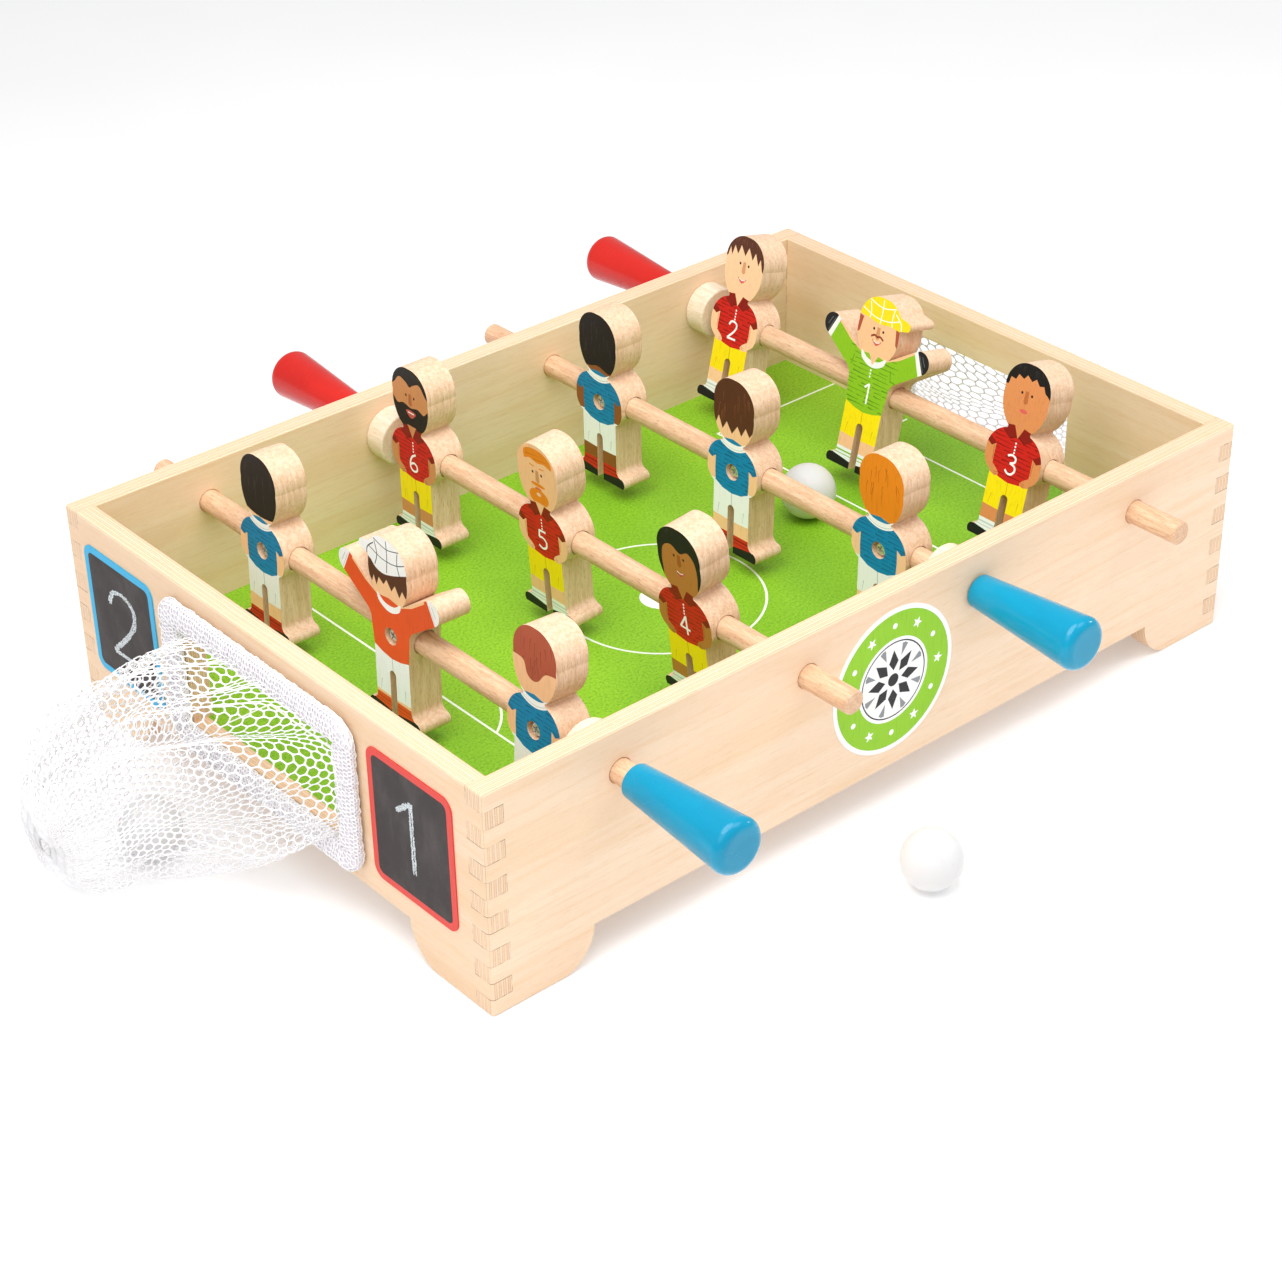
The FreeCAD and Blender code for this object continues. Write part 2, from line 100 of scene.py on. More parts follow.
class Finish:
    """One Principled material and short ways to add its nodes."""

    def __init__(self, name, rough=0.5, **own):
        self.mat = bpy.data.materials.new(name)
        self.mat.use_nodes = True
        self.tree = self.mat.node_tree
        self.bsdf = self.tree.nodes["Principled BSDF"]
        self.bsdf.inputs["Roughness"].default_value = rough
        for key, value in own.items():
            self.bsdf.inputs[key.replace("_", " ")].default_value = value
        self.coord = self.add("ShaderNodeTexCoord").outputs["Object"]

    def add(self, kind, ins=None, **props):
        node = self.tree.nodes.new(kind)
        for key, value in props.items():
            setattr(node, key, value)
        for key, value in (ins or {}).items():
            if isinstance(value, bpy.types.NodeSocket):
                self.tree.links.new(value, node.inputs[key])
            else:
                node.inputs[key].default_value = rgb(value) if isinstance(value, str) else value
        return node

    def maths(self, op, a, b=0.0):
        return self.add("ShaderNodeMath", {0: a, 1: b}, operation=op).outputs[0]

    def times(self, a, b):
        return self.maths("MULTIPLY", a, b)

    def apart(self, a, b):
        return self.maths("ABSOLUTE", self.maths("SUBTRACT", a, b))

    def per_mm(self, x, y, z):
        """Object coordinates times the given cycles per millimetre along each axis."""
        return self.add("ShaderNodeVectorMath", {0: self.coord, 1: (x * 1000, y * 1000, z * 1000)},
                        operation="MULTIPLY").outputs[0]

    def xyz(self, socket=None):
        return self.add("ShaderNodeSeparateXYZ", {0: socket or self.per_mm(1, 1, 1)}).outputs

    def noise(self, x, y, z, detail=3.0, rough=0.55, twist=0.0):
        return self.add("ShaderNodeTexNoise", {"Vector": self.per_mm(x, y, z), "Scale": 1.0,
                        "Detail": detail, "Roughness": rough, "Distortion": twist}).outputs[0]

    def dots(self, x, y, z):
        return self.add("ShaderNodeTexVoronoi", {"Vector": self.per_mm(x, y, z), "Scale": 1.0}
                        ).outputs["Distance"]

    def band(self, value, low, high, out0=0.0, out1=1.0):
        return self.add("ShaderNodeMapRange", {"Value": value, "From Min": low, "From Max": high,
                        "To Min": out0, "To Max": out1}, interpolation_type="SMOOTHSTEP").outputs[0]

    def mix(self, fac, a, b):
        return self.add("ShaderNodeMix", {0: fac, 6: a, 7: b}, data_type="RGBA").outputs[2]

    def colour(self, socket):
        self.tree.links.new(socket, self.bsdf.inputs["Base Color"])

    def rough(self, socket):
        self.tree.links.new(socket, self.bsdf.inputs["Roughness"])

    def bump(self, height, mm, strength=0.5):
        n = self.add("ShaderNodeBump", {"Height": height, "Strength": strength, "Distance": mm * MM})
        self.tree.links.new(n.outputs[0], self.bsdf.inputs["Normal"])


def plywood(name, axis, grain, pale="#F5DABE", deep="#F0CFAC"):
    """Birch plywood: veneer on the two faces, plies with glue lines on every cut edge."""
    f = Finish(name, 0.5)
    along = [1.0, 1.0, 1.0]
    along[grain] = 0.045
    cloud = f.noise(*[v * 0.05 for v in along], detail=2, twist=0.6)
    grainy = f.noise(*[v * 0.35 for v in along], detail=5, rough=0.62)
    fine = f.noise(*[v * 2.2 for v in along], detail=3)
    cross = f.noise(1.1, 1.1, 1.1, detail=3, rough=0.7)
    pores = f.dots(*[v * 0.9 for v in along])
    face = f.mix(f.band(cloud, 0.3, 0.7), pale, deep)
    face = f.mix(f.band(grainy, 0.46, 0.72, 0, 0.5), face, "#E9C294")
    face = f.mix(f.band(fine, 0.48, 0.76, 0, 0.36), face, "#DDB286")
    face = f.mix(f.band(cross, 0.5, 0.75, 0, 0.3), face, "#FBE6CE")
    face = f.mix(f.band(pores, 0.18, 0.03, 0, 0.42), face, "#D2A576")
    p = f.xyz()
    inner = HY - WALL if axis == 1 else HX - WALL
    depth = f.maths("SUBTRACT", f.maths("ABSOLUTE", p[axis]), inner) if axis < 2 else p[axis]
    wavy = f.maths("ADD", depth, f.times(f.noise(0.03, 0.03, 0.03, detail=2), 1.1))
    ply = f.maths("DIVIDE", wavy, WALL / PLIES)
    part = f.maths("FRACT", ply)
    odd = f.maths("FRACT", f.maths("DIVIDE", f.maths("FLOOR", ply), 2.0))
    tone = f.add("ShaderNodeTexWhiteNoise", {"W": f.maths("FLOOR", ply)},
                 noise_dimensions="1D").outputs[0]
    cut = f.mix(f.band(odd, 0.1, 0.4), "#F1D3B6", "#E7C3A1")
    cut = f.mix(f.times(tone, 0.5), cut, "#EFCFA8")
    cut = f.mix(f.band(fine, 0.45, 0.75, 0, 0.3), cut, "#CFA277")
    cut = f.mix(f.band(cross, 0.5, 0.75, 0, 0.5), cut, "#F8E2C8")
    glue = f.apart(part, 0.5)
    cut = f.mix(f.times(f.band(glue, 0.36, 0.49, 0, 0.8), f.band(cloud, 0.35, 0.6, 0.4, 1.0)),
                cut, "#A2754E")
    normal = f.xyz(f.add("ShaderNodeNewGeometry").outputs["True Normal"])
    is_face = f.band(f.maths("ABSOLUTE", normal[axis]), 0.6, 0.85)
    both = f.mix(is_face, cut, face)
    if axis < 2:
        # Fine dark joints between the corner fingers, open in some places and shut in others.
        x, y = f.maths("ABSOLUTE", p[0]), f.maths("ABSOLUTE", p[1])
        corner = f.times(f.maths("GREATER_THAN", x, HX - WALL - 0.4),
                         f.maths("GREATER_THAN", y, HY - WALL - 0.4))
        rise = f.times(f.maths("MINIMUM", p[2], HEIGHT - 0.1), FINGERS / HEIGHT)
        k = f.maths("FRACT", f.maths("ADD", rise, 0.5))
        level = f.band(f.apart(k, 0.5), 0.03, 0.008)
        level = f.times(level, f.maths("LESS_THAN", p[2], HEIGHT - 4))
        other = f.maths("MODULO", f.maths("FLOOR", f.maths("ADD", rise, 1 - axis)), 2.0)
        way, edge = (x, HX - WALL) if axis == 1 else (y, HY - WALL)
        side = f.band(f.apart(way, edge), 0.38, 0.15)
        side = f.times(side, other)
        gap = f.times(corner, f.maths("MAXIMUM", level, side))
        patchy = f.band(f.noise(0.13, 0.13, 0.13, detail=2), 0.42, 0.6, 0.12, 0.85)
        both = f.mix(f.times(gap, patchy), both, "#7C5435")
    f.colour(both)
    f.rough(f.band(grainy, 0.3, 0.7, 0.5, 0.62))
    f.bump(f.maths("ADD", f.times(fine, 0.6), cross), 0.05, 0.35)
    return f.mat


def beech(name, grain, light="#E8C4A1", dark="#D6A883", fleck="#A2714F"):
    """Steamed beech: short dark flecks along the grain, dots on the end grain."""
    f = Finish(name, 0.5)
    along = [1.0, 1.0, 1.0]
    along[grain] = 0.09
    streak = f.noise(*[v * 0.55 for v in along], detail=5, rough=0.65, twist=0.3)
    rays = f.noise(*[v * 2.6 for v in along], detail=2, rough=0.6)
    speck = f.noise(1.6, 1.6, 1.6, detail=3, rough=0.7)
    pores = f.dots(*[v * 1.5 * (1.6 if i == grain else 1) for i, v in enumerate(along)])
    tone = f.mix(f.band(streak, 0.32, 0.68), light, dark)
    tone = f.mix(f.band(rays, 0.52, 0.72, 0, 0.6), tone, fleck)
    tone = f.mix(f.band(speck, 0.54, 0.75, 0, 0.2), tone, light)
    tone = f.mix(f.band(pores, 0.2, 0.04, 0, 0.6), tone, fleck)
    f.colour(tone)
    f.bump(f.maths("ADD", rays, speck), 0.05, 0.4)
    return f.mat


def lacquer(name, code, shade, light):
    """Opaque paint on turned wood: faint brush rings and a few small dents."""
    f = Finish(name, 0.26, Specular_IOR_Level=0.18, Coat_Weight=0.35, Coat_Roughness=0.09)
    cloud = f.noise(0.05, 0.02, 0.05, detail=3)
    rings = f.noise(0.08, 1.6, 0.08, detail=2)
    grit = f.noise(0.9, 0.9, 0.9, detail=3, rough=0.7)
    tone = f.mix(f.band(cloud, 0.35, 0.7), code, shade)
    tone = f.mix(f.band(rings, 0.55, 0.8, 0, 0.2), tone, light)
    f.colour(tone)
    f.rough(f.band(cloud, 0.3, 0.7, 0.17, 0.3))
    f.bump(f.maths("ADD", rings, grit), 0.05, 0.3)
    return f.mat


INKS = {}


def ink(code):
    """Screen-printed colour over the wood grain, which shows faintly through it."""
    if code not in INKS:
        f = Finish("printed_ink_" + code[1:].lower(), 0.5, Specular_IOR_Level=0.22)
        v = channels(code)
        pale = hex_of(c + (255 - c) * 0.12 for c in v)
        deep = hex_of(c * (0.95 if min(v) > 190 else 0.88) for c in v)
        grain = f.noise(1.1, 1.1, 0.08, detail=4, rough=0.6)
        tone = f.mix(f.band(grain, 0.5, 0.7, 0, 0.45), code, deep)
        tone = f.mix(f.band(f.noise(2.4, 2.4, 0.8, detail=2), 0.6, 0.78, 0, 0.4), tone, pale)
        f.colour(tone)
        f.bump(grain, 0.05, 0.35)
        INKS[code] = f.mat
    return INKS[code]


def pitch_green():
    f = Finish("printed_hardboard_green", 0.5, Specular_IOR_Level=0.35)
    cloud = f.noise(0.012, 0.012, 0.012, detail=3)
    speck = f.noise(0.75, 0.75, 0.75, detail=4, rough=0.75)
    dots = f.dots(0.5, 0.5, 0.5)
    tone = f.mix(f.band(cloud, 0.35, 0.65), "#8DC329", "#80B824")
    tone = f.mix(f.band(speck, 0.5, 0.64, 0, 0.85), tone, "#5F981A")
    tone = f.mix(f.band(speck, 0.47, 0.34, 0, 0.6), tone, "#A3D238")
    tone = f.mix(f.band(dots, 0.22, 0.06, 0, 0.6), tone, "#649B20")
    f.colour(tone)
    f.bump(speck, 0.04, 0.4)
    return f.mat


def slate_black():
    f = Finish("chalkboard_film", 0.7, Specular_IOR_Level=0.2)
    dust = f.noise(0.05, 0.05, 0.03, detail=5, rough=0.65)
    grit = f.noise(1.8, 1.8, 1.8, detail=2)
    tone = f.mix(f.band(dust, 0.4, 0.75), "#413C3B", "#544F4D")
    f.colour(f.mix(f.band(grit, 0.55, 0.8, 0, 0.4), tone, "#605B58"))
    f.bump(grit, 0.03, 0.4)
    return f.mat


def chalk():
    f = Finish("chalk", 0.95)
    grit = f.noise(2.2, 2.2, 2.2, detail=3, rough=0.7)
    f.colour(f.mix(f.band(grit, 0.42, 0.6), "#E8F1F4", "#8C8F90"))
    f.bump(grit, 0.15, 0.6)
    return f.mat


def thread(name, low="#F0EDF1", high="#FFFFFF", scale=1.0):
    """Pale twisted yarn, with a little emission: painted light that keeps the threads white where they
    lie in shade.
    """
    f = Finish(name, 0.75, Sheen_Weight=0.3, Sheen_Roughness=0.5,
               Emission_Color=(1, 1, 1, 1), Emission_Strength=0.06)
    ply = f.noise(2.6 * scale, 2.6 * scale, 2.6 * scale, detail=2, twist=0.5)
    soft = f.noise(0.25, 0.25, 0.25, detail=2)
    tone = f.mix(f.band(ply, 0.35, 0.65), low, high)
    f.colour(f.mix(f.band(soft, 0.45, 0.75, 0, 0.2), tone, "#E9E2EA"))
    f.bump(ply, 0.18, 0.6)
    return f.mat


def steel():
    f = Finish("zinc_plated_steel", 0.4, Metallic=0.85)
    worn = f.noise(1.5, 1.5, 1.5, detail=4)
    f.colour(f.mix(f.band(worn, 0.35, 0.7), "#E9E9E6", "#B4B1A8"))
    f.rough(f.band(worn, 0.3, 0.7, 0.3, 0.5))
    f.bump(worn, 0.05, 0.3)
    return f.mat


def ball_plastic():
    f = Finish("matt_white_plastic", 0.42, Subsurface_Weight=0.08, Coat_Weight=0.1)
    skin = f.noise(0.9, 0.9, 0.9, detail=4, rough=0.6)
    marks = f.noise(0.12, 0.12, 0.12, detail=5, rough=0.7)
    tone = f.mix(f.band(marks, 0.55, 0.8, 0, 0.4), "#DADADA", "#CBCAC8")
    f.colour(tone)
    f.rough(f.band(marks, 0.3, 0.7, 0.38, 0.55))
    f.bump(f.maths("ADD", skin, f.dots(0.35, 0.35, 0.35)), 0.05, 0.35)
    return f.mat


# ---- meshes ----
def mesh(name, verts, faces, mats, index=None, smooth=False):
    """Mesh object from points in millimetres."""
    me = bpy.data.meshes.new(name)
    me.from_pydata([tuple(c * MM for c in v) for v in verts], [], faces)
    for m in mats:
        me.materials.append(m)
    if index is not None:
        me.polygons.foreach_set("material_index", index)
    me.polygons.foreach_set("use_smooth", [smooth] * len(me.polygons))
    me.update()
    ob = bpy.data.objects.new(name, me)
    bpy.context.scene.collection.objects.link(ob)
    return ob


def area(p):
    return sum(p[i - 1][0] * p[i][1] - p[i][0] * p[i - 1][1] for i in range(len(p))) / 2


def ell(cu, cv, ru, rv=None, n=28):
    rv = ru if rv is None else rv
    turns = [2 * math.pi * i / n for i in range(n)]
    return [(cu + ru * math.cos(a), cv + rv * math.sin(a)) for a in turns]


def rect(u0, u1, v0, v1):
    return [(u0, v0), (u1, v0), (u1, v1), (u0, v1)]


def spline(q0, q1, q2, q3, t):
    """Catmull-Rom curve between q1 and q2."""
    return 0.5 * (2 * q1 + (q2 - q0) * t + (2 * q0 - 5 * q1 + 4 * q2 - q3) * t * t
                  + (3 * q1 - q0 - 3 * q2 + q3) * t ** 3)


def flow(pts, closed=True, steps=5):
    """Smooth curve through the points."""
    n, out = len(pts), []
    for i in range(n if closed else n - 1):
        if closed:
            q = [pts[(i + k - 1) % n] for k in range(4)]
        else:
            q = [pts[min(max(i + k - 1, 0), n - 1)] for k in range(4)]
        for s in range(steps):
            t = s / steps
            out.append(tuple(spline(*(k[j] for k in q), t) for j in (0, 1)))
    return out if closed else out + [tuple(pts[-1])]


def stroke(pts, width, end=None):
    """Line of short quads; the width runs to end at its far tip if given."""
    out, n = [], len(pts) - 1
    end = width if end is None else end
    for i, (a, b) in enumerate(zip(pts, pts[1:])):
        w0, w1 = ((width + (end - width) * (i + k) / n) / 2 for k in (0, 1))
        du, dv = b[0] - a[0], b[1] - a[1]
        d = math.hypot(du, dv) or 1e-6
        du, dv = du / d, dv / d
        e = 0.18 * width
        a, b = (a[0] - du * e, a[1] - dv * e), (b[0] + du * e, b[1] + dv * e)
        out.append([(a[0] + dv * w0, a[1] - du * w0), (b[0] + dv * w1, b[1] - du * w1),
                    (b[0] - dv * w1, b[1] + du * w1), (a[0] - dv * w0, a[1] + du * w0)])
    return out


def both(poly):
    return [poly, [(-u, v) for u, v in poly]]


def print_on(name, layers, put, body, base=None, holes=()):
    """One thin printed skin. layers are (ink, polygons, name, inside): later ones cover
    earlier ones, and one with an inside shows only over the layer of that name."""
    pts, faces, tags = [], [], []

    def add(poly, tag):
        poly = list(poly) if area(poly) > 0 else list(poly)[::-1]
        faces.append(list(range(len(pts), len(pts) + len(poly))))
        pts.extend(Vector(p[:2]) for p in poly)
        tags.append(tag)

    if base:
        add(base, "base")
    for h in holes:
        add(h, "hole")
    names = {}
    for k, layer in enumerate(layers):
        if len(layer) > 2 and layer[2]:
            names[layer[2]] = k
        for poly in layer[1]:
            add(poly, k)
    out = delaunay_2d_cdt(pts, [], faces, 1, 1e-4)
    mats, used, tri, index, verts = [], {}, [], [], []
    for f, origins in zip(out[2], out[5]):
        inside = {tags[o] for o in origins}
        if (base and "base" not in inside) or "hole" in inside:
            continue
        best = None
        for k in sorted((t for t in inside if not isinstance(t, str)), reverse=True):
            need = layers[k][3] if len(layers[k]) > 3 else None
            if need is None or names[need] in inside:
                best = k
                break
        if best is None:
            continue
        code = layers[best][0]
        m = ink(code) if isinstance(code, str) else code
        if m not in mats:
            mats.append(m)
        ids = []
        for i in f:
            if i not in used:
                used[i] = len(verts)
                verts.append(put(out[0][i][0], out[0][i][1]))
            ids.append(used[i])
        tri.append(ids)
        index.append(mats.index(m))
    ob = mesh(name, verts, tri, mats, index)
    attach(ob, body)
    return ob


# ---- figure prints ----
# Points are (u, v) in millimetres from the bore as seen by someone facing that side.
DIGITS = {
    1: [[(0.1, 0.78), (0.36, 1), (0.36, 0)]],
    2: [flow([(0, 0.76), (0.1, 0.94), (0.32, 1), (0.54, 0.9), (0.56, 0.68), (0.38, 0.4),
              (0, 0.02)], False), [(0, 0.0), (0.62, 0.03)]],
    3: [flow([(0.02, 0.9), (0.27, 1), (0.52, 0.9), (0.5, 0.68), (0.24, 0.55)], False),
        flow([(0.24, 0.55), (0.54, 0.46), (0.6, 0.24), (0.42, 0.02), (0.18, 0), (0, 0.12)], False)],
    4: [[(0.46, 0), (0.4, 1), (0, 0.32), (0.64, 0.3)]],
    5: [[(0.56, 1), (0.1, 0.98), (0.07, 0.6)],
        flow([(0.07, 0.6), (0.34, 0.62), (0.58, 0.44), (0.54, 0.14), (0.28, 0), (0, 0.1)], False)],
    6: [flow([(0.5, 1), (0.2, 0.8), (0.03, 0.45), (0.06, 0.12), (0.3, 0), (0.56, 0.12),
              (0.56, 0.36), (0.34, 0.48), (0.08, 0.36)], False)],
}
SKINS = ("#FFCC9C", "#D48F5C", "#FCC696", "#BE7C3A", "#FFCEA2", "#E09058", "#925628")


def figure_text(n, cu, cv, high, width):
    out = []
    for line in DIGITS[n]:
        out += stroke([(cu + (u - 0.31) * high, cv + v * high) for u, v in line], width)
    return out


def stripes(rows, tone, inside, jig):
    """Loose hand-drawn cross lines over a shirt."""
    out, r = [], random.Random(jig)
    for v in rows:
        u = -17 + r.random() * 5
        while u < 16:
            w = 4 + r.random() * 9
            dv = r.uniform(-0.35, 0.35)
            sag = r.uniform(-0.3, 0.3)
            out += stroke([(u, v + dv), (u + w * 0.5, v + dv + sag), (u + w, v + dv)],
                          r.uniform(0.45, 0.95), 0.25)
            u += w + r.uniform(0.8, 4)
    return (tone, out, None, inside)


def legs(kit, low=-28.0):
    """Shorts, bare legs, socks with rings, and shoes."""
    shoe = [(2, -47), (2, -42.2), (9, -41.2), (14, -40.6), (23, -39.4), (23, -47)]
    return [(kit["shorts"], [[(-15, -8), (-15, low + 3), (-13, low + 0.4), (-2, low), (0, low + 1),
                              (2, low), (12, low + 0.5), (15, low + 1), (15, -8)]], "shorts"),
            (kit["fold"], stroke([(0, -12), (0.4, -19)], 0.6)
             + stroke([(-9, low + 7), (-10, low + 1)], 0.5, 0.2)
             + stroke([(9.5, low + 8), (9, low + 2)], 0.5, 0.2), None, "shorts"),
            (kit["sock"], [rect(-22, 22, -47, -35.2)], "sock"),
            (kit["ring"], [rect(-22, 22, -37.9, -37.0)], None, "sock"),
            (kit["ring"], [rect(-22, 22, -39.6, -39.1)], None, "sock"),
            ("#1B1B1D", both(shoe), "shoe")]


SHIRT = [(-9.5, 17), (-15.5, 12.2), (-19.5, 5.5), (-15.2, 3.2), (-12.4, 5.2), (-12.6, -2),
         (-12.2, -8.6), (-7, -11.2), (0, -12.2), (7, -11.2), (12.2, -8.6), (12.6, -2), (12.4, 5.2),
         (15.2, 3.2), (19.5, 5.5), (15.5, 12.2), (9.5, 17), (0, 18.6)]
ROWS = (12.6, 10.2, 7.9, 5.6, 3.2, 0.8, -1.6, -4.0, -6.4, -8.6)
# Lower edge of the hair seen from behind and from the front.
CUTS = {
    "round": [(-17, 22.5), (-9, 20), (0, 19), (9, 20), (17, 22.5)],
    "tongue": [(-17, 33.5), (-8, 33), (-5, 27), (-1, 25), (3, 26.5), (8, 32), (17, 33.5)],
    "bob": [(-17, 18), (-9, 17), (0, 18.5), (9, 17), (17, 18)],
    "jag": [(-17, 30), (-13, 24), (-11, 28.5), (-8, 22), (-5, 27), (-1, 21.5), (3, 27), (6, 22.5),
            (9, 28), (12, 24), (17, 31)],
    "long": [(-17, 21), (-8, 19.5), (0, 21.4), (8, 19.5), (17, 21)],
}
FRINGES = {
    "crop": [(-17, 34), (-13.6, 37), (-11, 43.4), (-5, 45.6), (0, 42.6), (5, 45.2), (11, 43.6),
             (13.6, 37), (17, 34)],
    "peak": [(-17, 38), (-13.2, 40), (-8.6, 44.8), (-3, 43.4), (0, 41.4), (3.4, 43.6), (8.6, 45.2),
             (13.2, 40), (17, 38)],
    "side": [(-17, 36), (-13.4, 40), (-8, 42), (0, 45), (6, 44.2), (11.4, 40), (13.9, 34), (17, 30)],
    "long": [(-17, 17), (-11.9, 20.5), (-12.2, 31), (-10.6, 38.4), (-5, 41.4), (1, 38.6), (6.5, 41.2),
             (11, 37.4), (12.3, 30), (12, 20.5), (17, 17)],
    "curl": [(-17, 37), (-13, 37.6), (-12.2, 41.6), (-9, 41.2), (-7.6, 44.4), (-4, 42.9), (-2, 45.6),
             (1.4, 43.2), (4, 45.4), (6.6, 42.6), (9.6, 43.4), (11.2, 40.2), (13.4, 39), (17, 36)],
    "spike": [(-17, 35), (-13.8, 38), (-12.6, 43), (-11, 38.6), (-9.4, 44.6), (-6.4, 40.4), (-4.6, 46),
              (-0.6, 40.8), (1.6, 46.2), (5.4, 40.2), (7.2, 44.8), (10.4, 38.4), (11.6, 42.6),
              (13.8, 36.6), (17, 33)],
    "thin": None,
}
ALL_OVER = rect(-45, 45, -50, 55)   # cut to each figure's outline


def outfield_back(kit, skin, hair, cut, jig):
    """Player seen from behind: a smooth head of hair, collar and shirt."""
    top = CUTS[cut] if cut == "jag" else flow(CUTS[cut], False)
    r = random.Random(jig)
    locks = []
    for _ in range(15):
        u, v = r.uniform(-11, 11), r.uniform(31, 47)
        bent, fall = r.uniform(-0.6, 0.6), r.uniform(5, 8)
        locks += stroke([(u, v), (u * 1.05 + bent, v - 3), (u * 1.1, v - fall)], 0.55, 0.2)
    l = [(skin, [ALL_OVER], "skin"),
         (hair[0], [top + [(17, 56), (-17, 56)]], "hair"),
         (hair[1], locks, None, "hair"),
         (kit["shirt"], [SHIRT], "shirt"),
         stripes(ROWS, kit["stripe"], "shirt", jig),
         (kit["cuff"], both([(14.2, 5.6), (20.5, 8.2), (20.5, 5.4), (14.6, 2.6)]), None, "shirt"),
         (kit["collar"], [flow([(-9.6, 18.8), (-9.8, 15.4), (-5, 12.9), (0, 12.1), (5, 12.9),
                                (9.8, 15.4), (9.6, 18.8), (5, 16.6), (0, 16), (-5, 16.6)], steps=3)]),
         (kit["seam"], stroke(flow([(-8.8, 15.8), (-4.6, 13.9), (0, 13.2), (4.6, 13.9),
                                    (8.8, 15.8)], False), 0.35))]
    return [l[0]] + legs(kit) + l[1:]


def face(shade, lips, eye=(3.3, 36.0), smile=True):
    """Plain painted face: dot eyes, a soft nose and a short mouth."""
    e, v = eye
    l = [(shade, [[(-1.1, v + 1.5), (-1.5, v - 4.4), (0, v - 5.6), (1.5, v - 4.4), (1.1, v + 1.5)]]),
         ("#2A1B18", both(ell(e, v, 0.72, 0.8, 10)))]
    if smile:
        l += [(lips, [flow([(-3.6, 28.4), (0, 26.9), (3.6, 28.4), (0, 25.2)], steps=4)]),
              ("#FFF4EC", stroke([(-2.2, 27.6), (0, 26.9), (2.2, 27.6)], 0.5))]
    else:
        l += [(lips, [ell(0, 26.8, 2.6, 1.1, 16)])]
    return l


def outfield_front(kit, skin, shade, hair, style, number, jig):
    """Player seen from the front, forearms folded over the shirt."""
    fringe = FRINGES[style]
    l = [(skin, [ALL_OVER], "skin")] + legs(kit)
    if fringe:
        line = fringe if style in ("curl", "spike") else flow(fringe, False, 4)
        l.append((hair[0], [line + [(17, 56), (-17, 56)]], "hair"))
        r = random.Random(jig)
        roots = [r.uniform(-9, 9) for _ in range(8)]
        l.append((hair[1], [q for u in roots for q in stroke([(u, 49.5), (u * 1.15, 46.8)], 0.5, 0.2)],
                  None, "hair"))
    else:
        l.append((hair[0], [flow([(-9, 46.8), (-4, 49.2), (4, 49.4), (10.5, 46.4), (11.6, 42),
                                  (6, 43.2), (1, 42.2), (-5, 43.2), (-9, 42)], steps=4)]))
        l.append((hair[1], stroke([(-8, 45), (2, 46.4)], 0.5, 0.2)
                  + stroke([(-2, 43.6), (9, 45)], 0.5, 0.2)))
    lips = "#C4524F" if channels(skin)[0] < 0xD0 else "#E0605C"
    l += face(shade, lips, smile=style in ("crop", "side", "long", "spike"))
    if style == "peak":      # full beard
        l += [(hair[0], [flow([(-14.6, 32), (-11, 29.2), (-6, 30.8), (0, 29.6), (6, 30.8), (11, 29.2),
                               (14.6, 32), (13, 23), (7, 17.4), (0, 16), (-7, 17.4), (-13, 23)],
                              steps=4)], "beard"),
              ("#C8574F", [flow([(-4.2, 27), (0, 28.2), (4.2, 27), (0, 23.6)], steps=4)]),
              ("#FFF4EC", stroke([(-2.4, 26.6), (2.4, 26.6)], 0.7))]
    if style == "thin":      # goatee
        l += [(hair[0], [ell(0, 22.4, 7.4, 4.6, 26), ell(0, 29.4, 5.4, 1.1, 16)]),
              ("#F3CBB4", [ell(0, 24.0, 1.7, 1.0, 12)]),
              (hair[0], both(stroke([(2, 39.4), (5.4, 39.8)], 0.7)[0]))]
    l += [(kit["shirt"], [SHIRT], "shirt"),
          stripes(ROWS, kit["stripe"], "shirt", jig),
          (kit["cuff"], both([(13.4, 6.4), (20.8, 9.6), (20.8, 5.2), (14.6, 2.4), (12.4, 4.4)]),
           None, "shirt"),
          (skin, [[(-3.9, 19), (0, 12.0), (3.9, 19)]]),
          (kit["collar"], both([(3.2, 18.4), (9.4, 17.4), (9.8, 13.6), (4.8, 10.4), (0.3, 12.6)])),
          (kit["seam"], both(stroke([(4.8, 10.8), (1.0, 12.8)], 0.35)[0])),
          (kit["mark"], [ell(-0.1, v, 0.55, 0.6, 8) for v in (9.4, 7.6, 5.8, 4.2)]),
          (kit["mark"], figure_text(number, -0.4, -7.4, 10.2, 1.15)),
          (skin, both(flow([(18.8, -1), (14, -4.4), (9.4, -7.4), (7.4, -9.8), (9.4, -11.4),
                            (13.4, -10.2), (18.8, -8)], steps=3))),
          (shade, both(stroke([(8.2, -9.0), (10.4, -9.6)], 0.4)[0])
           + both(stroke([(8.4, -10.2), (10.4, -10.6)], 0.4)[0])
           + both(stroke([(13.0, -3.6), (13.4, 3.6)], 0.45)[0]))]
    return l


KEEPER_SHIRT = [(-9.6, 19.4), (-18, 23), (-31.6, 32.5), (-36.5, 19), (-19.6, 7.5), (-14.8, 5),
                (-14.6, -9), (-7, -11.4), (0, -12.4), (7, -11.4), (14.6, -9), (14.8, 5), (19.6, 7.5),
                (36.5, 19), (31.6, 32.5), (18, 23), (9.6, 19.4), (0, 20.6)]


